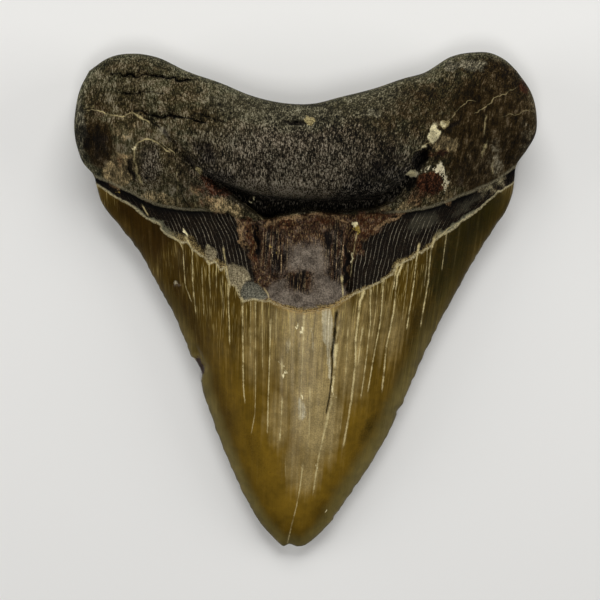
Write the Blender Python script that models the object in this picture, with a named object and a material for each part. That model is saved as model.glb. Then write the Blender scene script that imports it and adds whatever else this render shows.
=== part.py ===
"""A fossil megalodon tooth, lying on its flat outer (labial) face.

One solid: the two-lobed root, the sunken bourlette band under it and the enamel blade grew as
one body. Lengths are in millimetres until the mesh is made. x runs across the tooth, y from the
tip up to the root, z up from the surface the tooth lies on.
"""

import bpy
import numpy as np

MM = 0.001

# Driving dimensions, in millimetres.
ROOT_TOP = 56.4  # the y where the sides meet the top margin
TIP_LINE = -59.6  # the y where the sides meet the blunt tip
LOBE_HEIGHT = 17.4
MIDDLE_EXTRA = 5.2  # the root is this much thicker between its lobes
MIDDLE_REACH = 36.0
MIDDLE_EDGE_EXTRA = 2.4  # the top margin lies this much higher at its middle
BULGE_HEIGHT = 5.8  # the bulge's rise above the rest of the root
BULGE_REACH = 30.0
BULGE_MIDDLE = 33.0
BULGE_SPREAD = 20.0
BULGE_ROUNDING = 5.5
LOBE_ROUNDING = 9.5  # radius of the lobes' rounded margin
MIDDLE_ROUNDING = 3.5  # added to it at the middle of the top margin
RECESS_DEPTH = 5.0
RECESS_WALL = 2.4
RECESS_REACH = 29.0  # the recess fades out this far from the middle
BOURLETTE_DEPTH = 0.6  # the bourlette lies this far under the enamel, and under the root
STEP_WIDTH = 1.4
EDGE_FADE = 2.0  # steps fade out this near the outline
LABIAL_ROUNDING = 8.5
TIP_LIFT = 1.6
LIFT_START = -44.0
ROOT_DIP = 1.4  # the labial face is hollow by this much between the lobes
DIP_REACH = 20.0

# Shares of the blade's half width, and the powers that shape its cross-section.
FLAT_SHARE = 0.4
LABIAL_POWER = 1.7
BLADE_POWER = 2.2
BLADE_FULLNESS = 0.85
ROOT_SLOPE = 0.45

# The outline, as curves through hand-set points: (y, x) down both sides, (x, y) along both ends.
LEFT_SIDE = (
    (56.4, -53.1), (52.3, -55.2), (46.5, -56.5), (42.4, -56.8), (37.0, -55.9), (33.4, -54.4),
    (31.0, -52.3), (28.0, -51.4), (24.3, -50.3), (17.3, -45.0), (11.3, -40.5), (5.4, -37.3),
    (-2.5, -33.0), (-10.4, -29.5), (-19.0, -25.8), (-26.1, -24.2), (-34.0, -21.3),
    (-41.9, -18.1), (-49.8, -14.3), (-55.7, -10.6), (-59.6, -7.2),
)
RIGHT_SIDE = (
    (56.4, 51.9), (51.6, 55.2), (45.4, 56.8), (40.4, 56.4), (36.9, 54.4), (33.2, 51.9),
    (30.0, 51.5), (26.6, 51.1), (21.3, 49.0), (17.3, 46.2), (11.3, 42.5), (5.4, 39.1),
    (-2.5, 34.7), (-10.4, 30.7), (-18.2, 27.1), (-26.1, 23.7), (-34.0, 19.9),
    (-41.9, 15.2), (-49.8, 9.8), (-55.7, 5.6), (-59.6, 1.4),
)
TOP_END = (
    (-53.1, 56.4), (-48.7, 59.4), (-42.0, 60.6), (-36.5, 59.7), (-29.0, 56.2), (-21.0, 53.4),
    (-13.0, 50.1), (-5.0, 48.3), (2.0, 48.2), (8.5, 49.8), (17.0, 52.0), (24.3, 54.5),
    (29.0, 55.8), (36.0, 59.9), (41.0, 60.9), (46.0, 60.6), (49.8, 58.5), (51.9, 56.4),
)
TIP_END = ((-7.2, -59.6), (-5.5, -60.8), (-4.2, -60.3), (-2.0, -60.9), (0.0, -60.5), (1.4, -59.6))

# Heights above the resting face, by y: the blade's middle and the outline's own level.
BLADE_MIDDLE = (
    (-60.9, 4.4), (-55.0, 6.8), (-45.0, 9.8), (-30.0, 13.0), (-15.0, 15.2), (0.0, 17.0),
    (15.0, 18.2), (30.0, 18.8), (60.9, 18.8),
)
EDGE_LEVEL = (
    (-60.9, 2.8), (-40.0, 3.2), (0.0, 4.4), (20.0, 5.4), (28.0, 6.6), (34.0, 8.6), (60.9, 9.4),
)

# Lines across the lingual face, as (x, y): where the root ends, where the enamel starts, the
# bulge's lower margin and the rim on the far side of the recess under it.
ROOT_END = (
    (-57.0, 31.5), (-51.7, 29.8), (-40.0, 24.8), (-30.0, 22.0), (-19.0, 21.2), (-12.0, 19.0),
    (-6.0, 20.2), (4.0, 21.4), (16.0, 21.8), (30.0, 22.2), (41.0, 26.4), (51.5, 32.0),
    (57.0, 34.0),
)
ENAMEL_START = (
    (-57.0, 30.0), (-50.7, 28.0), (-42.0, 23.0), (-34.0, 17.0), (-24.0, 9.5), (-16.0, 0.6),
    (-6.0, -1.4), (0.0, -3.3), (6.0, -2.0), (16.0, 3.0), (25.0, 10.2), (37.0, 19.0),
    (51.0, 29.0), (57.0, 31.0),
)
BULGE_MARGIN = (
    (-31.0, 37.0), (-25.0, 31.4), (-19.0, 28.2), (-10.0, 25.6), (0.0, 24.6), (11.0, 24.6),
    (18.0, 26.2), (24.0, 30.6), (31.0, 39.0),
)
RECESS_RIM = (
    (-31.0, 37.0), (-25.0, 30.6), (-16.9, 25.0), (-9.5, 19.2), (-5.0, 20.2), (4.0, 21.5),
    (16.0, 21.9), (24.0, 27.0), (31.0, 39.0),
)

COLUMNS = 44
EVEN_SHARE = 0.3  # 1 spaces columns evenly, 0 crowds them most at the rounded sides
# Rows of the loft: (y where a band of rows ends, rows in the band).
ROW_BANDS = ((36.0, 10), (16.0, 14), (TIP_LINE, 15))
TOP_BEND = 0.42  # share of the length over which rows bend to the top margin
TIP_BEND = 0.05  # and to the tip


def curve_through(points, at):
    """Reads a smooth curve through (place, value) points at the given places."""
    place, value = np.array(sorted(points)).T
    slope = np.gradient(value, place)
    at = np.asarray(at, float)
    low = np.clip(np.searchsorted(place, at) - 1, 0, len(place) - 2)
    step = place[low + 1] - place[low]
    t = np.clip((at - place[low]) / step, 0.0, 1.0)
    rise = t * t * (3.0 - 2.0 * t)
    start = t * (1.0 - t) ** 2 * step * slope[low]
    end = t * t * (t - 1.0) * step * slope[low + 1]
    return value[low] + rise * (value[low + 1] - value[low]) + start + end


def smooth_step(value):
    t = np.clip(value, 0.0, 1.0)
    return t * t * (3.0 - 2.0 * t)


def round_over(distance, radius):
    """A quarter-round: 0 at the rim with an upright wall, 1 from the radius inwards."""
    left = np.clip(1.0 - distance / radius, 0.0, 1.0)
    return np.sqrt(1.0 - left**2)


def soft_lower(first, second, blend):
    """The lower of two heights, with the corner between them rounded."""
    mixed = np.clip(0.5 + 0.5 * (second - first) / blend, 0.0, 1.0)
    return second + (first - second) * mixed - blend * mixed * (1.0 - mixed)


def row_places():
    """The y of each row before it bends to the ends, closer together around the recess."""
    places = [ROOT_TOP]
    for end, rows in ROW_BANDS:
        start = places[-1]
        share = np.arange(1, rows + 1) / rows
        if start == ROOT_TOP:
            share = EVEN_SHARE * share + (1.0 - EVEN_SHARE) * (1.0 - np.cos(0.5 * np.pi * share))
        places += list(start + (end - start) * share)
    return np.array(places)


def column_shares():
    """Each column's share of the width, closer together at the rounded sides."""
    even = np.linspace(0.0, 1.0, COLUMNS + 1)
    return EVEN_SHARE * even + (1.0 - EVEN_SHARE) * 0.5 * (1.0 - np.cos(np.pi * even))


def plan_of_loft():
    """x and y of every row and column: straight rows that bend to the top margin and the tip."""
    row_y = row_places()[:, None]
    share = column_shares()[None, :]
    left = curve_through(LEFT_SIDE, row_y)
    right = curve_through(RIGHT_SIDE, row_y)
    x = left + share * (right - left)
    top_x = x[0][None, :]
    tip_x = x[-1][None, :]
    down = (ROOT_TOP - row_y) / (ROOT_TOP - TIP_LINE)
    top_pull = np.clip(1.0 - down / TOP_BEND, 0.0, 1.0) ** 1.6
    tip_pull = np.clip(1.0 - (1.0 - down) / TIP_BEND, 0.0, 1.0)
    y = row_y + top_pull * (curve_through(TOP_END, top_x) - ROOT_TOP)
    return x, y + tip_pull * (curve_through(TIP_END, tip_x) - TIP_LINE)


def distance_to_outline(x, y):
    """Each point's distance to the outline, taken as a ring of short straight pieces."""
    ring_x = np.concatenate([x[0], x[1:, -1], x[-1, -2::-1], x[-2:0:-1, 0]])
    ring_y = np.concatenate([y[0], y[1:, -1], y[-1, -2::-1], y[-2:0:-1, 0]])
    start = np.stack([ring_x, ring_y], axis=1)
    along = np.roll(start, -1, axis=0) - start
    point = np.stack([x.ravel(), y.ravel()], axis=1)[:, None, :]
    share = ((point - start) * along).sum(axis=2) / (along**2).sum(axis=1)
    nearest = start + np.clip(share, 0.0, 1.0)[:, :, None] * along
    return np.sqrt(((point - nearest) ** 2).sum(axis=2)).min(axis=1).reshape(x.shape)


def edge_level(x, y):
    """Height of the outline: the thin cutting edges lie low, the root's margin higher."""
    middle = np.exp(-((x / 26.0) ** 2)) * smooth_step((y - 38.0) / 10.0)
    return curve_through(EDGE_LEVEL, y) + MIDDLE_EDGE_EXTRA * middle


def blade_share(y, rim):
    """How far a point lies from the blade's middle towards its edge: 0 to 1."""
    half_width = 0.5 * (curve_through(RIGHT_SIDE, y) - curve_through(LEFT_SIDE, y))
    return 1.0 - np.clip(rim / half_width, 0.0, 1.0)


def lingual_height(x, y, rim):
    """The upper face: blade, sunken bourlette, recess and the root with its bulge."""
    edge = edge_level(x, y)
    fullness = (1.0 - blade_share(y, rim) ** BLADE_POWER) ** BLADE_FULLNESS
    blade = edge + (curve_through(BLADE_MIDDLE, y) - edge) * fullness
    above_enamel = smooth_step((y - curve_through(ENAMEL_START, x)) / STEP_WIDTH)
    blade = blade - BOURLETTE_DEPTH * above_enamel * np.clip(rim / EDGE_FADE, 0.0, 1.0)
    base = root_base(x, y, rim, edge, blade)
    return base + bulge_rise(x, y, rim) - RECESS_DEPTH * recess_share(x, y)


def root_base(x, y, rim, edge, blade):
    """The root without its bulge: round at the margin, and sloping down to the bourlette."""
    middle = np.exp(-((x / MIDDLE_REACH) ** 2))
    rounding = LOBE_ROUNDING + MIDDLE_ROUNDING * middle
    lobes = edge + (LOBE_HEIGHT + MIDDLE_EXTRA * middle - edge) * round_over(rim, rounding)
    above_end = np.clip(y - curve_through(ROOT_END, x), 0.0, None)
    step_up = 1.6 * BOURLETTE_DEPTH * smooth_step(above_end / STEP_WIDTH)
    slope_up = blade + step_up + ROOT_SLOPE * above_end
    root = np.maximum(soft_lower(lobes, slope_up, 2.0), edge)
    return np.where(above_end > 0.0, root, blade)


def bulge_rise(x, y, rim):
    """The rise of the bulge above the root, with a steep margin over the recess."""
    past_margin = np.clip(y - curve_through(BULGE_MARGIN, x) + RECESS_WALL, 0.0, None)
    along = np.exp(-((np.abs(x) / BULGE_REACH) ** 2.8))
    up = np.exp(-(((y - BULGE_MIDDLE) / BULGE_SPREAD) ** 2))
    top = round_over(rim, LOBE_ROUNDING + MIDDLE_ROUNDING)
    return BULGE_HEIGHT * along * up * top * smooth_step(past_margin / BULGE_ROUNDING)


def recess_share(x, y):
    """The hollow between the bulge's margin and the rim: 1 at its floor, 0 outside."""
    rim_y = curve_through(RECESS_RIM, x) - 0.5 * RECESS_WALL
    width = curve_through(BULGE_MARGIN, x) + 0.5 * RECESS_WALL - rim_y
    into = (y - rim_y) / np.maximum(width, 0.5)
    hollow = smooth_step(into / 0.45) * smooth_step((1.0 - into) / 0.45)
    return hollow * smooth_step((RECESS_REACH - np.abs(x)) / 14.0)


def labial_height(x, y, rim):
    """The face it lies on: flat at z = 0 down the blade and under the lobes."""
    edge = edge_level(x, y)
    outside_flat = np.clip((blade_share(y, rim) - FLAT_SHARE) / (1.0 - FLAT_SHARE), 0.0, 1.0)
    blade = edge * outside_flat**LABIAL_POWER
    root = edge * (1.0 - round_over(rim, LABIAL_ROUNDING))
    height = blade + (root - blade) * smooth_step((y - 24.0) / 10.0)
    dip = ROOT_DIP * smooth_step(1.0 - np.abs(x) / DIP_REACH) * smooth_step((y - 26.0) / 9.0)
    lift = TIP_LIFT * np.clip((LIFT_START - y) / (LIFT_START - TIP_LINE), 0.0, 1.0) ** 2
    return np.minimum(height + (dip + lift) * np.clip(rim / EDGE_FADE, 0.0, 1.0), edge)


def loft_faces(ids, upward):
    """Four-sided faces between neighbouring rows and columns of point numbers."""
    corners = np.stack([ids[:-1, :-1], ids[1:, :-1], ids[1:, 1:], ids[:-1, 1:]], axis=-1)
    faces = corners.reshape(-1, 4)
    return faces if upward else faces[:, ::-1]


def tooth_mesh():
    """Two lofted faces that share the outline, as one closed mesh with its box centred."""
    x, y = plan_of_loft()
    rim = distance_to_outline(x, y)
    upper = np.stack([x, y, lingual_height(x, y, rim)], axis=-1)
    lower = np.stack([x, y, labial_height(x, y, rim)], axis=-1)
    upper_ids = np.arange(x.size).reshape(x.shape)
    lower_ids = upper_ids.copy()
    lower_ids[1:-1, 1:-1] = x.size + np.arange((x.shape[0] - 2) * (x.shape[1] - 2)).reshape(
        x.shape[0] - 2, x.shape[1] - 2
    )
    points = np.concatenate([upper.reshape(-1, 3), lower[1:-1, 1:-1].reshape(-1, 3)])
    low, high = points.min(axis=0), points.max(axis=0)
    points -= np.array([0.5 * (low[0] + high[0]), 0.5 * (low[1] + high[1]), low[2]])
    faces = np.concatenate([loft_faces(upper_ids, True), loft_faces(lower_ids, False)])
    mesh = bpy.data.meshes.new("tooth")
    mesh.from_pydata((points * MM).tolist(), [], faces.tolist())
    mesh.validate()
    mesh.shade_smooth()
    return mesh


def fossil_material():
    """Mineral-stained dentine and enamel, in the tooth's mean brown."""
    material = bpy.data.materials.new("fossil_tooth")
    material.use_nodes = True
    surface = material.node_tree.nodes["Principled BSDF"]
    surface.inputs["Base Color"].default_value = (0.075, 0.058, 0.030, 1.0)
    surface.inputs["Metallic"].default_value = 0.0
    surface.inputs["Roughness"].default_value = 0.45
    return material


for leftover in list(bpy.data.objects):
    bpy.data.objects.remove(leftover, do_unlink=True)

collection = bpy.data.collections.new("megalodon_tooth")
bpy.context.scene.collection.children.link(collection)
tooth = bpy.data.objects.new("tooth", tooth_mesh())
tooth.data.materials.append(fossil_material())
collection.objects.link(tooth)
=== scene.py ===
import math

import bpy
import numpy as np
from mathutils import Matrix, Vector
from mathutils.kdtree import KDTree


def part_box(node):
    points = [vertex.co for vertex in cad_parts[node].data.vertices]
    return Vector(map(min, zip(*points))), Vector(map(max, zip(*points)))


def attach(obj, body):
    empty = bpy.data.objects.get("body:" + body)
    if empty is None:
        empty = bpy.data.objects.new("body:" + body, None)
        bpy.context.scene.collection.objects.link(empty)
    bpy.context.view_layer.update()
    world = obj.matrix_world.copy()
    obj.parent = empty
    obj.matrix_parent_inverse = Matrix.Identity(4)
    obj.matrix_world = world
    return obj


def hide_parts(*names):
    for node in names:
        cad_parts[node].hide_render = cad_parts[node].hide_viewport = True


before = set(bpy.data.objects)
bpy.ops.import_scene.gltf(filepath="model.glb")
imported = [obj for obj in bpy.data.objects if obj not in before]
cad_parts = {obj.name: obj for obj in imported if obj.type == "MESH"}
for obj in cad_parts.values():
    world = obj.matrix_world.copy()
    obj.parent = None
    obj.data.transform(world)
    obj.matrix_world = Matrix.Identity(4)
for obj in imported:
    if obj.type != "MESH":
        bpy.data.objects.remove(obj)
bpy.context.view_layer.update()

# ---------------------------------------------------------------------------------------------
# The tooth: one fossil, grown as one body. A porous two-lobed root carries a thin triangular
# blade under hard enamel, and the bare bourlette lies between them. Nothing is fixed to it. It
# rests on its flat outer (labial) face.
# ---------------------------------------------------------------------------------------------

# Lengths are in millimetres until the mesh is made: x runs across the tooth, y from the tip up to
# the root, z up from the resting face.
MM = 0.001
ROOT_TOP = 56.4  # the y where the sides meet the top margin
TIP_LINE = -59.6  # the y where the sides meet the blunt tip

# The outline: (y, x) down both sides, (x, y) along both ends.
LEFT_SIDE = (
    (56.4, -53.1), (52.3, -55.2), (46.5, -56.5), (42.4, -56.8), (37, -55.9), (33.4, -54.4), (31, -52.3),
    (28, -51.4), (24.3, -50.3), (17.3, -45), (11.3, -40.5), (5.4, -37.3), (-2.5, -33), (-10.4, -29.5),
    (-19, -26.6), (-26.1, -24.1), (-34, -21.3), (-41.9, -18.1), (-49.8, -14.3), (-55.7, -10.6),
    (-59.6, -7.2),
)
RIGHT_SIDE = (
    (56.4, 51.9), (51.6, 55.2), (45.4, 56.8), (40.4, 56.4), (36.9, 54.4), (33.2, 51.9), (30, 51.5),
    (26.6, 51.1), (21.3, 49), (17.3, 46.2), (11.3, 42.5), (5.4, 39.1), (-2.5, 34.7), (-10.4, 30.7),
    (-18.2, 27.1), (-26.1, 23.7), (-34, 19.9), (-41.9, 15.2), (-49.8, 9.8), (-55.7, 5.6), (-59.6, 1.4),
)
TOP_END = (
    (-53.1, 56.4), (-48.7, 59.4), (-42, 60.6), (-36.5, 59.7), (-29, 56.2), (-21, 53.4), (-13, 50.1),
    (-5, 48.3), (2, 48.2), (8.5, 49.8), (17, 52), (24.3, 54.5), (29, 55.8), (36, 59.9), (41, 60.9),
    (46, 60.6), (49.8, 58.5), (51.9, 56.4),
)
TIP_END = ((-7.2, -59.6), (-5.5, -60.8), (-4.2, -60.3), (-2, -60.9), (0, -60.5), (1.4, -59.6))
# Chips in the cutting edges, as (distance down from y 0, depth into the blade).
LEFT_CHIPS = (
    (13.8, 0), (14.4, 0.5), (15.4, 0.95), (16.9, 1.5), (18.4, 1.3), (19.2, 0.75), (19.8, 0.55),
    (21.2, 0.25), (23, 0),
)
RIGHT_CHIPS = (
    (26.4, 0), (27.3, 0.5), (28.6, 0), (45.4, 0), (45.9, 0.3), (47, 0), (52.2, 0), (53, 0.55), (54.4, 0),
)

# Heights above the resting face, as (y, z): the blade's middle and the outline's own level.
BLADE_MIDDLE = (
    (-60.9, 4.4), (-55, 6.8), (-45, 9.8), (-30, 13), (-15, 15.2), (0, 17), (15, 18.2), (30, 18.8),
    (60.9, 18.8),
)
EDGE_LEVEL = ((-60.9, 2.8), (-40, 3.2), (0, 4.4), (20, 5.4), (28, 6.6), (34, 8.6), (60.9, 9.4))

# Lines across the lingual face, as (x, y): where the root ends, where the enamel starts (its
# edge is ragged), the bulge's lower margin and the rim on the far side of the recess under it.
# The last line is where the enamel starts on the labial face.
ROOT_END = (
    (-58, 32.6), (-51.7, 30.1), (-47, 28.1), (-40.1, 24.7), (-35.9, 22.9), (-30, 21.9), (-25.3, 21.7),
    (-18.9, 21.2), (-17.1, 20.2), (-12, 19.2), (-6, 20.4), (4, 21.4), (12, 20.8), (15.9, 21.2),
    (19.1, 21), (22.8, 21.2), (26, 21.6), (30.2, 22.3), (35.4, 24.2), (41.1, 26.4), (47.2, 29.1),
    (51.4, 32.3), (58, 36),
)
ENAMEL_EDGE = (
    (-58, 31.2), (-50.7, 28.1), (-47, 25.6), (-42, 22.9), (-39.2, 20.2), (-35.6, 18.6), (-34.9, 16.8),
    (-33.3, 15.7), (-31.3, 14.8), (-30.3, 13.9), (-29, 14.4), (-28, 12.9), (-27.1, 12.1), (-25.3, 10.9),
    (-24.5, 10.4), (-23.8, 8.9), (-22.2, 9.4), (-20.6, 7.4), (-20, 8.2), (-19.4, 7.6), (-18.6, 3.8),
    (-17.1, 3.4), (-16.1, 1), (-15.3, -0.2), (-13.1, 0.3), (-10.7, -0.2), (-9, -0.3), (-7.3, -1),
    (-3.3, -2.5), (-0.4, -3), (2.3, -2.7), (6, -2), (8.5, -0.7), (11.4, 1.2), (13.2, 2.2), (15.3, 3),
    (17.8, 4.3), (20.3, 5.7), (21.4, 6.4), (22.3, 8.4), (24.3, 9.4), (26.5, 10.4), (27.6, 11.9),
    (28.5, 11.6), (30, 12.6), (31.1, 13.6), (32.7, 15.7), (34.6, 16.4), (37.5, 18.4), (38.2, 19.2),
    (42.3, 22.2), (47.2, 26.4), (51.4, 29.1), (58, 33.2),
)
BULGE_MARGIN = (
    (-31, 37), (-25, 30.9), (-20.6, 28.2), (-16.2, 26.6), (-10, 25.4), (0, 24.4), (7, 24.2), (13, 24.4),
    (18.6, 25.6), (22.8, 28.4), (25.5, 31.4), (31, 39),
)
RECESS_RIM = (
    (-31, 37), (-25, 30.1), (-20.5, 27.6), (-16.9, 25), (-12, 21), (-10, 20), (-5.8, 20.9), (1.1, 22.1),
    (8.5, 21.4), (14.9, 22.2), (19.4, 23.2), (22.8, 25.2), (26, 29.4), (31, 39),
)
LABIAL_ENAMEL = (
    (-58, 31.8), (-51, 29.5), (-40, 26), (-25, 22), (-12, 18.5), (0, 16.8), (12, 18.5), (25, 22.2),
    (40, 26.6), (51, 30.5), (58, 33),
)

UPPER_COLUMNS = 400  # columns of the mesh across the root and bourlette
LOWER_COLUMNS = 200  # and across the blade and the labial face
EVEN_SHARE = 0.7  # 1 spaces columns evenly, 0 crowds them most at the rounded sides
# Rows of the loft: (y where a band of rows ends, rows in the band). All counts are even.
UPPER_BANDS = ((36, 46), (15, 56), (-4, 44))
LOWER_BANDS = ((-26, 40), (TIP_LINE, 44))
TOP_BEND = 0.42  # share of the length over which rows bend to the top margin
TIP_BEND = 0.05  # and to the tip


def curve_through(points, at):
    """Reads a smooth curve through (place, value) points at the given places."""
    place, value = np.array(sorted(points)).T
    slope = np.gradient(value, place)
    at = np.asarray(at, float)
    low = np.clip(np.searchsorted(place, at) - 1, 0, len(place) - 2)
    step = place[low + 1] - place[low]
    t = np.clip((at - place[low]) / step, 0, 1)
    rise = t * t * (3 - 2 * t)
    start = t * (1 - t) ** 2 * step * slope[low]
    end = t * t * (t - 1) * step * slope[low + 1]
    return value[low] + rise * (value[low + 1] - value[low]) + start + end


def smooth_step(value):
    t = np.clip(value, 0, 1)
    return t * t * (3 - 2 * t)


def round_over(distance, radius):
    """A quarter-round: 0 at the rim with an upright wall, 1 from the radius inwards."""
    return np.sqrt(1 - np.clip(1 - distance / radius, 0, 1) ** 2)


def bell(value, width):
    """1 in the middle, falling softly to 0 over the width."""
    return np.exp(-((value / width) ** 2))


def lumps(x, y, *sizes):
    """Smooth random unevenness. Each size is (height, millimetres a lump, seed, squeeze of y)."""
    total = 0
    for height, size, seed, squeeze in sizes:
        table = np.random.default_rng(seed).uniform(-1, 1, (64, 64))
        across, up = np.asarray(x) / size, squeeze * np.asarray(y) / size
        column, row = np.floor(across).astype(int), np.floor(up).astype(int)
        s, t = smooth_step(across - column), smooth_step(up - row)
        left, right = (
            table[row % 64, side % 64] * (1 - t) + table[(row + 1) % 64, side % 64] * t
            for side in (column, column + 1)
        )
        total = total + height * (left * (1 - s) + right * s)
    return total


def push_about(x, y, reach, first_seed, *sizes):
    """The points pushed about at random by (height, millimetres) lumps, so that edges waver."""
    push_x, push_y = (
        lumps(x, y, *((height, size, seed + k, 1) for k, (height, size) in enumerate(sizes)))
        for seed in (first_seed, first_seed + 3)
    )
    return x + reach * push_x, y + reach * push_y


def row_places():
    """The y of each row before it bends to the ends, and the number of rows above the change."""
    places = [ROOT_TOP]
    for end, rows in UPPER_BANDS + LOWER_BANDS:
        start = places[-1]
        share = np.arange(1, rows + 1) / rows
        if start == ROOT_TOP:
            share = 0.25 * share + 0.75 * (1 - np.cos(0.5 * np.pi * share))
        places += list(start + (end - start) * share)
    return np.array(places), sum(rows for _, rows in UPPER_BANDS)


def plan_of_rows(row_y, columns, wear):
    """x and y of the points on straight rows that bend to the top margin and to the tip."""
    even = np.linspace(0, 1, columns + 1)
    share = (EVEN_SHARE * even + (1 - EVEN_SHARE) * 0.5 * (1 - np.cos(np.pi * even)))[None, :]
    row_y = row_y[:, None]
    # The cutting edges are worn: small nicks of about 0.1 mm, and a few chips.
    worn = wear * smooth_step((24 - row_y) / 6)
    across = {}
    for side, line, chips, inward, nicks in (
        ("left", LEFT_SIDE, LEFT_CHIPS, 1, ((0.1, 1.9, 3, 1), (0.12, 0.9, 4, 1))),
        ("right", RIGHT_SIDE, RIGHT_CHIPS, -1, ((0.1, 1.7, 5, 1), (0.12, 0.9, 6, 1))),
    ):
        lost = lumps(row_y, 0 * row_y, *nicks) + inward * np.interp(-row_y, *np.array(chips).T)
        across[side] = [curve_through(line, row_y) + worn * lost]
        across[side] += [curve_through(line, end) for end in (ROOT_TOP, TIP_LINE)]
    x, top_x, tip_x = (
        left + share * (right - left) for left, right in zip(across["left"], across["right"])
    )
    down = (ROOT_TOP - row_y) / (ROOT_TOP - TIP_LINE)
    top_pull = np.clip(1 - down / TOP_BEND, 0, 1) ** 1.6
    tip_pull = np.clip(1 - (1 - down) / TIP_BEND, 0, 1)
    y = row_y + top_pull * (curve_through(TOP_END, top_x) - ROOT_TOP)
    return x, y + tip_pull * (curve_through(TIP_END, tip_x) - TIP_LINE)


def loft_plan(wear):
    """Plan points of the fine rows, then the coarser rows, with the number of each point."""
    row_y, change = row_places()
    fine_x, fine_y = plan_of_rows(row_y[: change + 1], UPPER_COLUMNS, wear)
    coarse_x, coarse_y = plan_of_rows(row_y[change + 1 :], LOWER_COLUMNS, wear)
    fine_ids = np.arange(fine_x.size).reshape(fine_x.shape)
    coarse_ids = fine_x.size + np.arange(coarse_x.size).reshape(coarse_x.shape)
    x = np.concatenate([fine_x.ravel(), coarse_x.ravel()])
    y = np.concatenate([fine_y.ravel(), coarse_y.ravel()])
    return x, y, fine_ids, coarse_ids


def distance_to_ring(x, y, spots):
    """Each point's distance to an outline, over the two pieces beside its nearest ring point."""
    tree = KDTree(len(spots))
    for number, (sx, sy) in enumerate(spots.tolist()):
        tree.insert((sx, sy, 0), number)
    tree.balance()
    nearest = np.array([tree.find((px, py, 0))[1] for px, py in zip(x.tolist(), y.tolist())])
    here = np.stack([x, y], axis=1)
    best = np.full(len(x), 1e9)
    for step in (-1, 0):
        start = spots[(nearest + step) % len(spots)]
        along = spots[(nearest + step + 1) % len(spots)] - start
        share = ((here - start) * along).sum(axis=1) / np.maximum((along**2).sum(axis=1), 1e-9)
        gap = here - start - np.clip(share, 0, 1)[:, None] * along
        best = np.minimum(best, np.sqrt((gap**2).sum(axis=1)))
    return best


def signed_gap(x, y, line):
    """Distance to a line of (x, y) points, positive on its left; and how far past its ends."""
    best = np.full(len(x), 1e9)
    signed = best
    past = np.zeros(len(x))
    pieces = list(zip(line[:-1], line[1:]))
    for number, ((ax, ay), (bx, by)) in enumerate(pieces):
        length = math.hypot(bx - ax, by - ay)
        ux, uy = (bx - ax) / length, (by - ay) / length
        along = (x - ax) * ux + (y - ay) * uy
        side = (y - ay) * ux - (x - ax) * uy
        over = np.maximum(np.maximum(-along, along - length), 0)
        gap = np.hypot(side, over)
        closer = gap < best
        best = np.where(closer, gap, best)
        before = (number == 0) & (along < 0)
        after = (number == len(pieces) - 1) & (along > length)
        free_end = before | after
        signed = np.where(closer, np.where(free_end, side, np.copysign(gap, side)), signed)
        past = np.where(closer, np.where(free_end, over, 0), past)
    return signed, past


def above_line(x, y, line):
    """Distance to a line that runs from left to right, negative below it."""
    return np.copysign(signed_gap(x, y, line)[0], y - np.interp(x, *np.array(line).T))


def inside_outline(x, y, outline):
    """Distance to a closed outline of (x, y) points, positive inside it."""
    ring_line = (*outline, outline[0])
    inside = np.zeros(len(x), bool)
    for (ax, ay), (bx, by) in zip(ring_line[:-1], ring_line[1:]):
        crosses = (ay > y) != (by > y)
        inside ^= crosses & (x < ax + (bx - ax) * (y - ay) / (by - ay if by != ay else 1))
    return np.where(inside, 1, -1) * np.abs(signed_gap(x, y, ring_line)[0])


def patch_share(x, y, patches, ragged=1):
    """1 inside soft, torn ovals of (x, y, half width, half height, turn in degrees, strength)."""
    share = np.zeros(len(x))
    x, y = push_about(x, y, ragged, 51, (0.8, 2.7), (0.5, 1.1), (0.3, 0.6))
    for px, py, wide, high, turn, strength in patches:
        c, s = math.cos(math.radians(turn)), math.sin(math.radians(turn))
        across = ((x - px) * c + (y - py) * s) / wide
        up = ((y - py) * c - (x - px) * s) / high
        share = np.maximum(share, strength * smooth_step(1.5 - np.hypot(across, up)))
    return share


def edge_level(x, y):
    """Height of the outline: the thin cutting edges lie low, the root's margin higher."""
    return curve_through(EDGE_LEVEL, y) + 2.4 * bell(x, 26) * smooth_step((y - 38) / 10)


def blade_share(y, rim):
    """How far a point lies from the blade's middle towards its edge: 0 to 1."""
    half_width = 0.5 * (curve_through(RIGHT_SIDE, y) - curve_through(LEFT_SIDE, y))
    return 1 - np.clip(rim / half_width, 0, 1)


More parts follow.
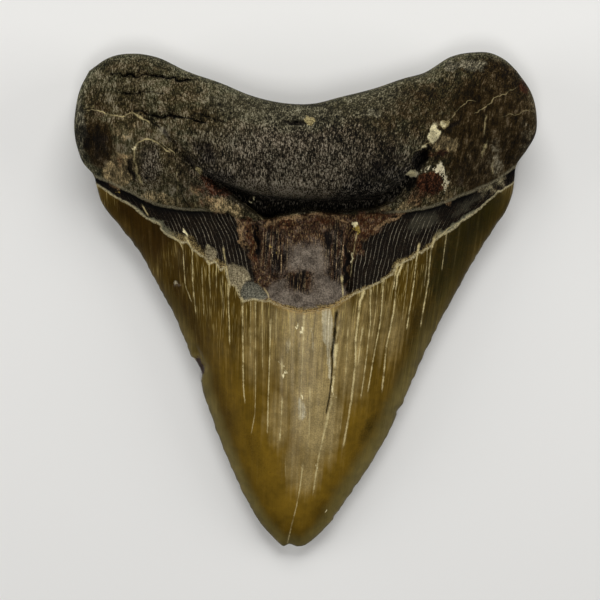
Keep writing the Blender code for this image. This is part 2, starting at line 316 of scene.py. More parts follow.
# Cracks that lie open, as (half width, depth, points): those across the left lobe, fine ones in
# the bulge and the lobes, and the one down the middle of the blade.
OPEN_CRACKS = (
    (0.15, 1, ((-46.9, 55.2), (-45.4, 55.4), (-44.3, 54.8), (-43, 55.1), (-41.6, 54.6), (-39.8, 55.2),
        (-36.9, 54.7))),
    (0.28, 1.4, ((-37.2, 54.7), (-35.1, 54.6), (-34, 54.3), (-32.2, 54.5), (-31.4, 53.9), (-30.2, 53.6),
        (-28.1, 53.7))),
    (0.3, 1, ((-44.6, 54.8), (-43, 55), (-41.8, 54.6))),
    (0.12, 0.7, ((-46.1, 50.5), (-43.9, 50.3), (-41.3, 50.3), (-40.4, 50.6), (-37.6, 50.8),
        (-34.6, 50.7))),
    (0.26, 0.9, ((-43.9, 50.3), (-42.5, 49.9), (-41.3, 50), (-40.5, 50.4))),
    (0.25, 1.1, ((-41, 46), (-39.2, 45.7), (-37, 45), (-34.5, 44.4), (-33, 44.8), (-30.2, 44.4),
        (-27.6, 44), (-25.8, 43), (-24.4, 42.8))),
    (0.19, 0.8, ((-27.8, 45), (-25.6, 45), (-22.5, 44.1), (-20, 43.3))),
    (0.14, 0.6, ((-35.9, 46), (-34.4, 46), (-33, 45.6))),
    (0.32, 0.8, ((-38.4, 43.9), (-37.2, 43.4), (-36.3, 42.8), (-35.4, 41.6))),
    (0.16, 0.6, ((-10.2, 37.5), (-9.9, 33), (-8.9, 29), (-8, 25.9))),
    (0.12, 0.5, ((1, 34.4), (4.2, 33.2), (8, 34))),
    (0.12, 0.5, ((34.9, 33.4), (35.4, 28.8), (35, 25))),
    (0.14, 0.6, ((-30.4, 27.6), (-29.6, 24.6), (-28.4, 22.8))),
    (0.22, 0.8, ((7.6, -3.2), (7.3, -6), (7, -8.4))),
    (0.27, 0.8, ((7.3, -7.4), (6.9, -10), (6.5, -13))),
    (0.17, 0.7, ((6.5, -12.6), (6.5, -15.3), (6.4, -19.5), (5.9, -23.5), (5.1, -27.4))),
)
# Hollows, as ovals with their depth in the last place: pits, troughs, the chip beside the plate
# and the chip in the left cutting edge.
HOLLOWS = (
    (27.6, 34.2, 1.3, 2.2, -20, 2.4), (25.6, 28.6, 1.6, 2.2, -30, 1.6), (-2.6, 43.2, 1.9, 0.5, -8, 0.8),
    (-32.6, 39.4, 0.9, 3.2, 38, 0.8), (-28, 33.4, 0.9, 3.6, 40, 0.8), (-24.4, 35, 1.6, 4, 20, 1),
    (-42.2, 31.6, 0.5, 3, 8, 0.5), (-23.4, 10.4, 1.1, 1.1, 0, 0.45), (-26.4, -15.8, 1.2, 3, 20, 0.9),
    (-51.5, 44, 3.5, 1.5, 30, 0.4), (-31.9, 4.4, 0.7, 0.8, 0, 0.25), (34.6, 42.4, 3, 0.7, 10, 0.5),
)
# Small swellings: the cream scale on the right lobe, the speckled ledge and the plate's top rim.
SWELLINGS = (
    (31.7, 41, 1, 2, -8, 0.7), (34.3, 43.2, 1, 0.5, 20, 0.5), (30.4, 28.6, 2.8, 2.3, 0, 0.9),
    (-20.5, 23.4, 4.2, 1.6, -28, 0.8), (-14.6, 16.8, 1.3, 4.6, 14, 0.7), (-0.1, 20, 9.5, 1.2, 0, 0.7),
    (15.6, 20.6, 3.2, 1.6, 12, 0.9), (-26.2, 31.6, 1, 0.7, 0, 0.5), (0.6, 43.8, 0.9, 0.7, 0, 0.5),
    (21.8, 23, 2, 1, 20, 0.7), (-37.9, 34, 2.2, 4.2, 6, 0.5),
)
# Three flakes are gone from the band's left foot, down to smooth dentine: two tan and one grey.
TAN_FLAKE = (
    (-18.9, 8.6), (-17.6, 9), (-16.2, 8.3), (-14.9, 8), (-13.9, 6.7), (-13.3, 5.2), (-14.4, 4.6),
    (-15.4, 3.3), (-16, 1.6), (-17.1, 3.6), (-18.4, 4), (-19, 6.6),
)
SMALL_FLAKE = (
    (-24.6, 11.7), (-24, 12.8), (-22.6, 12.9), (-21.7, 11.9), (-21.9, 10.4), (-23, 9.5), (-24.2, 10.3),
)
GREY_FLAKE = (
    (-14.4, 4.6), (-13.2, 4.4), (-11.6, 3.9), (-10.4, 2.6), (-9.3, 1.2), (-9.9, 0.2), (-11.3, -0.1),
    (-13.2, 0.4), (-15.2, 0), (-16, 1.4), (-15.4, 3.3),
)
# The plate's two sides, as (y, x). Its right side opens out into the red ledge under the root.
PLATE_LEFT = (
    (-4, -11), (2, -12.4), (7.9, -13.2), (11.1, -13.9), (13.6, -14.4), (15.5, -15.2), (19.2, -16.2),
    (21.5, -16.6),
)
PLATE_RIGHT = (
    (-4, 9.6), (2, 10.3), (8.5, 11.4), (10.9, 12.6), (13.1, 13.9), (14.8, 15.2), (16.8, 16.2),
    (17.8, 17.9), (18.5, 19.6), (20.2, 21), (20.8, 23.4), (21.6, 26),
)

# Depths and heights.
STRIA_PITCH = 0.98  # spacing of the bourlette's grooves
STRIA_DEPTH = 0.11  # half the depth of a groove
ENAMEL_THICKNESS = 0.6  # the bare bourlette lies this far under the enamel
PLATE_RISE = 0.35  # the plate between the grooved areas is smoother, and proud of them
PLATE_GROOVES = (1.2, 1.1)  # depths of the grooves down its right and left sides
ROOT_LIP = 1.1  # the root's step over the bourlette
ROOT_SLOPE = 0.52  # and its rise for each millimetre past that step
LOBE_HEIGHT = 17.4
LOBE_ROUNDING = 9.5
MIDDLE_EXTRA = 5.2  # the root is this much thicker between its lobes
MIDDLE_ROUNDING = 3.5  # and rounded over this much more
MIDDLE_REACH = 36
BULGE_HEIGHT = 5.8
BULGE_REACH = 30
BULGE_MIDDLE = 33  # the y where it stands highest
BULGE_ROUNDING = 13
RECESS_DEPTH = 7
FLAKE_DEPTH = 0.5
BLADE_POWER = 2.2  # how flat the blade is in its middle
BLADE_FULLNESS = 0.85
FLAT_SHARE = 0.4  # the labial face is flat over this share of the blade's width
LABIAL_POWER = 1.7  # and curls up from there to the edge
LABIAL_ROUNDING = 8.5  # radius of the root's labial edge
LABIAL_DIP = 1.4  # how hollow the labial face is between the lobes
TIP_LIFT = 1.6
TIP_LIFT_START = -44  # the y below which the tip lifts off the surface
SIDE_ROUNDING = 0.45  # radius of the outline's own edge


def stria_place(x, y):
    """The number of grooves between a point and the middle: a whole number on each crest.

    The grooves stand upright by the enamel, and lean outwards more and more towards the root.
    """
    up = np.clip((y - 3) / 18, 0, 1.4)
    lean = 0.08 * (y - 3) + 3.4 * up**2.3
    wander = lumps(x, y, (0.3, 5, 11, 1), (0.12, 1.6, 14, 1))
    return (np.abs(x + 1) - lean) / STRIA_PITCH + wander


def plate_share(x, y):
    """1 on the smooth plate between the two grooved parts of the bourlette."""
    fray = lumps(x, y, (0.45, 1.4, 12, 1), (0.25, 0.7, 13, 1))
    past_left = x + fray - np.interp(y, *np.array(PLATE_LEFT).T)
    past_right = np.interp(y, *np.array(PLATE_RIGHT).T) - x + fray
    return smooth_step(past_left / 0.5) * smooth_step(past_right / 0.5)


def upper_height(x, y, rim, enamel_gap, root_gap):
    """The lingual face: blade, sunken bourlette, recess, and the root with its bulge."""
    edge = edge_level(x, y)
    fade = np.clip(rim / 2, 0, 1)
    fullness = (1 - blade_share(y, rim) ** BLADE_POWER) ** BLADE_FULLNESS
    blade = edge + (curve_through(BLADE_MIDDLE, y) - edge) * fullness
    bare = smooth_step(enamel_gap / 0.7)
    plate = plate_share(x, y)
    grooved = bare * (1 - plate) * smooth_step(-root_gap) * fade
    blade = blade - ENAMEL_THICKNESS * bare * fade
    blade = blade + STRIA_DEPTH * np.cos(2 * np.pi * stria_place(x, y)) * grooved
    blade = blade + PLATE_RISE * bare * plate * smooth_step(-root_gap / 2)
    # A groove runs down the plate's right side, and a shallower one down its left.
    right_groove = bell(x - 10.9 - 0.05 * (y - 10), 0.75)
    left_groove = bell(x + 11.6 + lumps(x, y, (0.3, 2, 15, 1)), 0.5) * smooth_step((y - 9) / 5)
    grooves = PLATE_GROOVES[0] * right_groove + PLATE_GROOVES[1] * left_groove
    blade = blade - bare * smooth_step((y - 0.6) / 2) * smooth_step((19.6 - y) / 2.5) * grooves
    middle = bell(x, MIDDLE_REACH)
    dome = round_over(rim, LOBE_ROUNDING + MIDDLE_ROUNDING * middle)
    lobes = edge + (LOBE_HEIGHT + MIDDLE_EXTRA * middle - edge) * dome
    above = np.clip(root_gap, 0, None)
    slope_up = blade + ROOT_LIP * smooth_step(above / 0.9) * fade + ROOT_SLOPE * above
    # The root takes the lower of its lobes and its slope, with the corner between them rounded.
    corner = 2
    mixed = np.clip(0.5 + 0.5 * (slope_up - lobes) / corner, 0, 1)
    lower = slope_up + (lobes - slope_up) * mixed - corner * mixed * (1 - mixed)
    height = np.where(root_gap > 0, np.maximum(lower, edge), blade)
    bulge_y = curve_through(BULGE_MARGIN, x)
    along = np.exp(-((np.abs(x) / BULGE_REACH) ** 2.8)) * bell(y - BULGE_MIDDLE, 20)
    past = smooth_step((y - bulge_y + 0.9) / 4.2)
    height = height + BULGE_HEIGHT * along * round_over(rim, BULGE_ROUNDING) * past
    rim_y = curve_through(RECESS_RIM, x) - 0.6
    into = (y - rim_y) / np.maximum(bulge_y + 1.2 - rim_y, 0.5)
    hollow = smooth_step(into / 0.24) * smooth_step((1 - into) / 0.36)
    height = height - RECESS_DEPTH * hollow * smooth_step((28 - np.abs(x)) / 12)
    # Wear: broad lumps all over the root, and fine ones that make its skin rough.
    skin = lumps(
        x, y, (0.36, 7.5, 21, 1), (0.22, 2.6, 22, 0.6), (0.16, 0.9, 23, 0.4), (0.1, 0.55, 24, 0.5)
    )
    height = height + smooth_step(root_gap / 1.5) * smooth_step(rim / 3) * (skin - 0.75)
    waves = lumps(x, y, (0.12, 4, 25, 0.25), (0.04, 0.9, 26, 0.1))
    return height + smooth_step(-enamel_gap / 1.5) * smooth_step(rim / 3) * waves


def lower_height(x, y, rim, enamel_gap):
    """The labial face it lies on: flat down the blade and under the lobes."""
    edge = edge_level(x, y)
    past_flat = (blade_share(y, rim) - FLAT_SHARE) / (1 - FLAT_SHARE)
    blade = edge * np.clip(past_flat, 0, 1) ** LABIAL_POWER
    root = edge * (1 - round_over(rim, LABIAL_ROUNDING))
    height = blade + (root - blade) * smooth_step((y - 24) / 10)
    dip = LABIAL_DIP * smooth_step(1 - np.abs(x) / 20) * smooth_step((y - 26) / 9)
    lift = TIP_LIFT * np.clip((TIP_LIFT_START - y) / (TIP_LIFT_START - TIP_LINE), 0, 1) ** 2
    fade = np.clip(rim / 2, 0, 1)
    groove = 0.4 * bell(enamel_gap, 0.7)
    pores = 0.25 * smooth_step(enamel_gap) * np.clip(lumps(x, y, (1, 1.6, 31, 0.5)), 0, 1)
    return np.minimum(height + (dip + lift + groove + pores) * fade, edge)


*plan, fine_ids, coarse_ids = loft_plan(wear=1)
plan_x, plan_y = plan
# The outline's point numbers, once round the tooth.
right_side = [*fine_ids[1:, -1], *coarse_ids[:, -1]]
left_side = [*fine_ids[1:, 0], *coarse_ids[:, 0]]
ring = [*fine_ids[0], *right_side, *coarse_ids[-1, -2:0:-1], *left_side[::-1]]
rim = distance_to_ring(*plan, np.stack([plan_x[ring], plan_y[ring]], axis=1))
rim[ring] = 0
# The body's thickness follows the unworn outline, so that chips cut into it and don't dent it.
whole_x, whole_y, _, _ = loft_plan(wear=0)
whole_rim = distance_to_ring(*plan, np.stack([whole_x[ring], whole_y[ring]], axis=1))
ragged = lumps(*plan, (0.16, 1.1, 41, 1), (0.14, 0.6, 42, 1))
enamel_gap = above_line(*plan, ENAMEL_EDGE) + ragged
root_gap = above_line(*plan, ROOT_END) + 0.6 * ragged
labial_gap = above_line(*plan, LABIAL_ENAMEL) + ragged
edge_fade = np.clip(rim / 2, 0, 1)
upper_z = upper_height(*plan, whole_rim, enamel_gap, root_gap)


def wavering(x, y):
    """The points pushed about a little, so that cracks wander in the porous root."""
    reach = 0.1 + 0.9 * smooth_step((y - 24) / 3)
    return push_about(x, y, reach, 61, (0.35, 2.4), (0.28, 1), (0.15, 0.5))


wavered = wavering(*plan)
for half_width, depth, line in OPEN_CRACKS:
    gap, past = signed_gap(*wavered, line)
    upper_z = upper_z - depth * bell(gap, half_width) * smooth_step(1 - past / 0.8) * edge_fade
swollen = edge_fade * (0.8 + lumps(*plan, (0.4, 0.9, 44, 1)))
for ovals, change in ((HOLLOWS, -edge_fade), (SWELLINGS, swollen)):
    for *oval, amount in ovals:
        upper_z = upper_z + amount * change * patch_share(*plan, [(*oval, 1)])
for flake in (TAN_FLAKE, SMALL_FLAKE, GREY_FLAKE):
    upper_z = upper_z - FLAKE_DEPTH * smooth_step(inside_outline(*wavered, flake) / 0.7)
lower_z = lower_height(*plan, whole_rim, labial_gap)
level = edge_level(*plan)
to_level = round_over(rim, SIDE_ROUNDING)
upper_z = level + np.maximum(upper_z - level, 0) * to_level
lower_z = level + np.minimum(lower_z - level, 0) * to_level

# The labial sheet takes every second row and column, and shares the outline's own points.
all_rows = [*fine_ids, *coarse_ids]
halved = [row[::2] if number < len(fine_ids) else row for number, row in enumerate(all_rows)]
lower_ids = np.array(halved[::2])
inner = ~np.isin(lower_ids, ring)
under = lower_ids[inner]
lower_ids[inner] = len(plan_x) + np.arange(len(under))
points = np.concatenate([
    np.stack([plan_x, plan_y, upper_z], axis=1),
    np.stack([plan_x[under], plan_y[under], lower_z[under]], axis=1),
])
is_labial = np.concatenate([np.zeros(len(plan_x)), np.ones(len(under))])

faces = []
for ids in (fine_ids, coarse_ids):
    corners = np.stack([ids[:-1, :-1], ids[1:, :-1], ids[1:, 1:], ids[:-1, 1:]], axis=-1)
    faces += corners.reshape(-1, 4).tolist()
for column in range(LOWER_COLUMNS):
    top = fine_ids[-1][2 * column : 2 * column + 3]
    faces.append([top[0], coarse_ids[0][column], coarse_ids[0][column + 1], top[2], top[1]])
for row in range(len(lower_ids) - 1):
    skipped = all_rows[2 * row + 1]
    for column in range(LOWER_COLUMNS):
        face = [lower_ids[row, column]]
        if row == 0:
            face.append(all_rows[0][2 * column + 1])
        face.append(lower_ids[row, column + 1])
        if column == LOWER_COLUMNS - 1:
            face.append(skipped[-1])
        face += [lower_ids[row + 1, column + 1], lower_ids[row + 1, column]]
        if column == 0:
            face.append(skipped[0])
        faces.append(face)
faces = [[int(corner) for corner in face] for face in faces]

# The mesh is centred on the tooth's node, and stands on the same floor.
node_low, node_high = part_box("tooth")
low, high = points.min(axis=0), points.max(axis=0)
shift = np.array([
    500 * (node_low.x + node_high.x) - 0.5 * (low[0] + high[0]),
    500 * (node_low.y + node_high.y) - 0.5 * (low[1] + high[1]),
    1000 * node_low.z - low[2],
])
tooth_mesh = bpy.data.meshes.new("fossil_tooth")
tooth_mesh.from_pydata(((points + shift) * MM).tolist(), [], faces)
tooth_mesh.validate()
tooth_mesh.shade_smooth()
tooth_mesh.set_sharp_from_angle(angle=math.radians(62))
fossil = bpy.data.objects.new("fossil_tooth", tooth_mesh)
bpy.context.scene.collection.objects.link(fossil)

# What the finish needs to know about each point: how far it is from the lines above, and how much
# of each stain lies on it.
both = both_x, both_y = points[:, 0], points[:, 1]
near = near_x, near_y = wavering(*both)

# Healed hairline cracks, filled with pale mineral, as (strength, half width, points): first those
# of the blade, then the left lobe's and the right lobe's.
PALE_CRACKS = (
    (0.7, 0.14, ((-32.2, 15.4), (-30.7, 14.1), (-30, 12.3), (-29.8, 7.4), (-29.5, 3.5), (-28.2, 0.2))),
    (0.85, 0.15, ((-29.3, 15.4), (-28.3, 13.8), (-27.7, 11.8), (-27.7, 4.9), (-27, -2.7))),
    (0.5, 0.12, ((-23.6, 9.1), (-23.3, 1))),
    (0.5, 0.12, ((-21.8, 9.1), (-21.8, 3.5))),
    (0.75, 0.15, ((-18.9, 3.5), (-18.6, -10.1))),
    (0.7, 0.16, ((-20, 12.4), (-19.7, 10.2), (-19.3, 8), (-18.9, 6), (-18.5, 3.6))),
    (0.95, 0.17, ((-15.4, 0.2), (-15.2, -21.5), (-14.9, -24.4))),
    (0.6, 0.12, ((-12.2, -0.7), (-12.2, -21.2), (-12.4, -28), (-13.2, -32.1))),
    (0.5, 0.12, ((-10.5, -0.7), (-10.5, -16.3))),
    (0.9, 0.17, ((-8.5, -5.2), (-9, -21.5), (-9.3, -31.8))),
    (0.8, 0.17, ((-5.8, -14.8), (-5.8, -17.8))),
    (0.75, 0.16, ((-5.7, -24.4), (-5.9, -28.8), (-6.2, -33.8))),
    (0.5, 0.13, ((-3.8, -3.7), (-3.8, -12.1))),
    (0.45, 0.11, ((-13.4, -0.6), (-13.5, -13))),
    (0.4, 0.11, ((-7.1, -2.4), (-7.2, -9.6))),
    (0.55, 0.11, ((10.4, -7.3), (10.2, -12), (9.9, -17.6))),
    (0.4, 0.1, ((8.9, -28), (8.6, -31.5))),
    (0.45, 0.11, ((-25.4, 8), (-25, -3))),
    (0.45, 0.11, ((-20.3, 5.6), (-20.1, -4))),
    (0.5, 0.11, ((17.6, 3.4), (17.2, -3), (16.4, -8.6))),
    (0.4, 0.1, ((25.2, 9.4), (24.6, 2), (23.8, -4.4))),
    (0.95, 0.2, ((-0.4, -3.4), (-0.5, -9.6))),
    (0.55, 0.13, ((-0.5, -9.6), (-0.9, -18), (-1.3, -28.4))),
    (0.55, 0.13, ((1.1, -22), (0.9, -32.6))),
    (0.8, 0.17, ((22.6, 8.8), (22, 6.6), (21.6, 3.2))),
    (0.7, 0.13, ((33, 15.6), (35, 17.6), (37.2, 18.8))),
    (1, 0.24, ((14.2, 2), (13.4, -0.2), (12.3, -9.6), (12.2, -15.8), (11.2, -24.9), (10.6, -28.4),
        (9.4, -35.4))),
    (0.8, 0.14, ((13.9, -7.2), (12.9, -15.3))),
    (0.85, 0.15, ((15.9, 2.5), (15.9, -5.7), (14.7, -16.3), (13.7, -23.2))),
    (0.9, 0.16, ((19.1, 4.5), (18.4, -5.2), (16.6, -14.5), (15.4, -21.9))),
    (1, 0.2, ((24, 9.6), (22.5, 6), (21.6, -3.2), (19.9, -11.3), (18.9, -21.9))),
    (1, 0.16, ((27.8, 13.4), (27.1, 9.4), (26.5, 3.5), (25, -6.4))),
    (1, 0.18, ((31.6, 15.2), (30.7, 11.8), (30.2, 4.9), (28.5, -5.7))),
    (0.5, 0.1, ((29.9, 13), (29.7, 8), (29.2, 4))),
    (0.6, 0.13, ((34.6, 16), (33.6, 8))),
    (0.6, 0.18, ((8, -6.5), (7.6, -9), (7.4, -11.4))),
    (1, 0.32, ((7.5, -11), (7.2, -15.3), (7, -18.5), (6.3, -25.2), (5, -30.6))),
    (0.9, 0.2, ((5.1, -30.2), (3.9, -35.6), (3, -39.7), (2, -47))),
    (0.45, 0.12, ((-4.9, -39.4), (-4.9, -42.4))),
    (0.75, 0.16, ((-0.6, -40.4), (-1.2, -45.4), (-2.2, -50.6), (-3.3, -55.2), (-4.3, -59.4))),
    (0.55, 0.15, ((-53.9, 46.5), (-52.4, 46.3), (-50.9, 46))),
    (1, 0.17, ((-50.9, 46), (-49.2, 45.6), (-47.9, 44.9), (-46.9, 44.9), (-45.4, 45), (-44.4, 44.6))),
    (0.6, 0.12, ((-44, 44.7), (-42.8, 45.4), (-41.6, 45.4))),
    (1, 0.2, ((-41.6, 45.4), (-40.4, 44.7), (-39.2, 43.9), (-38.4, 43.1))),
    (0.7, 0.18, ((-41.9, 36.4), (-41, 38), (-39.6, 38.9), (-38.7, 39.3))),
    (1, 0.19, ((-38.7, 39.3), (-36.9, 39), (-35.7, 38.3), (-34.9, 37.4), (-33.4, 36.4))),
    (0.8, 0.11, ((-34.4, 38.3), (-33.2, 37), (-32, 35.7))),
    (0.55, 0.3, ((-41.9, 36.6), (-41.8, 34.5), (-41.2, 31.6), (-40, 29))),
    (0.35, 0.14, ((-31.4, 30.8), (-31.2, 23.6))),
    (0.45, 0.15, ((-27.7, 27.1), (-26.8, 23.2))),
    (0.95, 0.2, ((-39.8, 22.9), (-38.9, 21.3))),
    (0.6, 0.1, ((35, 44), (36.4, 45.9), (37.6, 47.6), (39.3, 48.8), (40.6, 48.8))),
    (0.55, 0.1, ((41.8, 46.1), (43.8, 47.3), (46.5, 49.6), (48.7, 50.6), (50.9, 51.8))),
    (0.35, 0.11, ((48, 44.9), (51.4, 45.4), (53.6, 46.6), (56, 46.2))),
    (0.45, 0.2, ((43.8, 44.6), (43.9, 40.7))),
    (0.55, 0.26, ((44.2, 38.2), (43.4, 35.5))),
    (0.35, 0.2, ((45.9, 33.2), (45.6, 31.2))),
    (0.7, 0.16, ((27.7, 36.7), (30.4, 38.4))),
    (0.6, 0.13, ((12.4, 15.8), (11.6, 10.6), (11.1, 6.6))),
    (0.8, 0.18, ((8.9, 5.4), (9.2, 0.6))),
    (0.6, 0.14, ((-9.9, 2.6), (-9.1, 1.4), (-8.9, 0.2))),
    (0.35, 0.12, ((-14.7, 23.6), (-12.6, 22), (-10.6, 19.9))),
)
# The same kind of crack on the face it lies on.
LABIAL_CRACKS = (
    (0.7, 0.15, ((-24, 20), (-22.5, 2), (-19, -18))),
    (0.5, 0.13, ((-15.5, 17.5), (-14.6, -4))),
    (0.8, 0.17, ((-6, 16), (-5.4, -12), (-4.6, -36))),
    (0.5, 0.13, ((1, 14), (1.2, -20))),
    (0.9, 0.18, ((8.5, 17), (7.4, -8), (5.2, -30), (3.8, -44))),
    (0.6, 0.14, ((16.5, 18), (14.6, -6))),
    (0.7, 0.15, ((26, 21), (22.8, 0), (18.6, -18))),
    (0.8, 0.22, ((-46, 46), (-38, 44), (-30, 45.5), (-22, 43))),
    (0.7, 0.2, ((24, 46), (33, 48.5), (41, 47), (48, 49.5))),
)
CRACK_REACH = 1.5  # a crack's mark ends this far from it


def lay_out_cracks(cracks, sets):
    """Shares cracks between sets, so that those in one set lie well apart."""
    held = [[] for _ in range(sets)]
    for crack in cracks:
        spots = np.array(crack[2])
        fine = np.linspace(0, len(spots) - 1, 40)
        path = np.stack([np.interp(fine, range(len(spots)), spots[:, k]) for k in (0, 1)], axis=1)
        room = []
        for kept in held:
            apart = [(path[:, None] - other[None]).transpose(2, 0, 1) for other, _ in kept]
            room.append(min([np.hypot(*gap).min() for gap in apart], default=99))
        held[int(np.argmax(room))].append((path, crack))
    return [[crack for _, crack in kept] for kept in held]


def crack_marks(cracks):
    """Signed distance to the nearest crack, in half widths, and how strongly it shows.

    Each crack is widest where it starts, at the enamel's broken edge.
    """
    nearest = np.full(len(both_x), 1e9)
    place = np.full(len(both_x), 9)
    shown = np.zeros(len(both_x))
    for strength, half_width, line in cracks:
        gap, past = signed_gap(*near, line)
        from_start = np.hypot(near_x - line[0][0], near_y - line[0][1])
        from_enamel = smooth_step((22 - line[0][1]) / 4)
        funnel = 1 + strength * 1.5 * np.exp(-from_start / 1.4) * from_enamel
        away = np.abs(gap) + past
        seen = strength * smooth_step(1 - past / 0.9) * smooth_step((CRACK_REACH - np.abs(gap)) / 0.4)
        closer = away < nearest
        nearest = np.where(closer, away, nearest)
        place = np.where(closer, gap / (half_width * funnel), place)
        shown = np.where(closer, seen, shown)
    return np.clip(place, -12, 12), shown


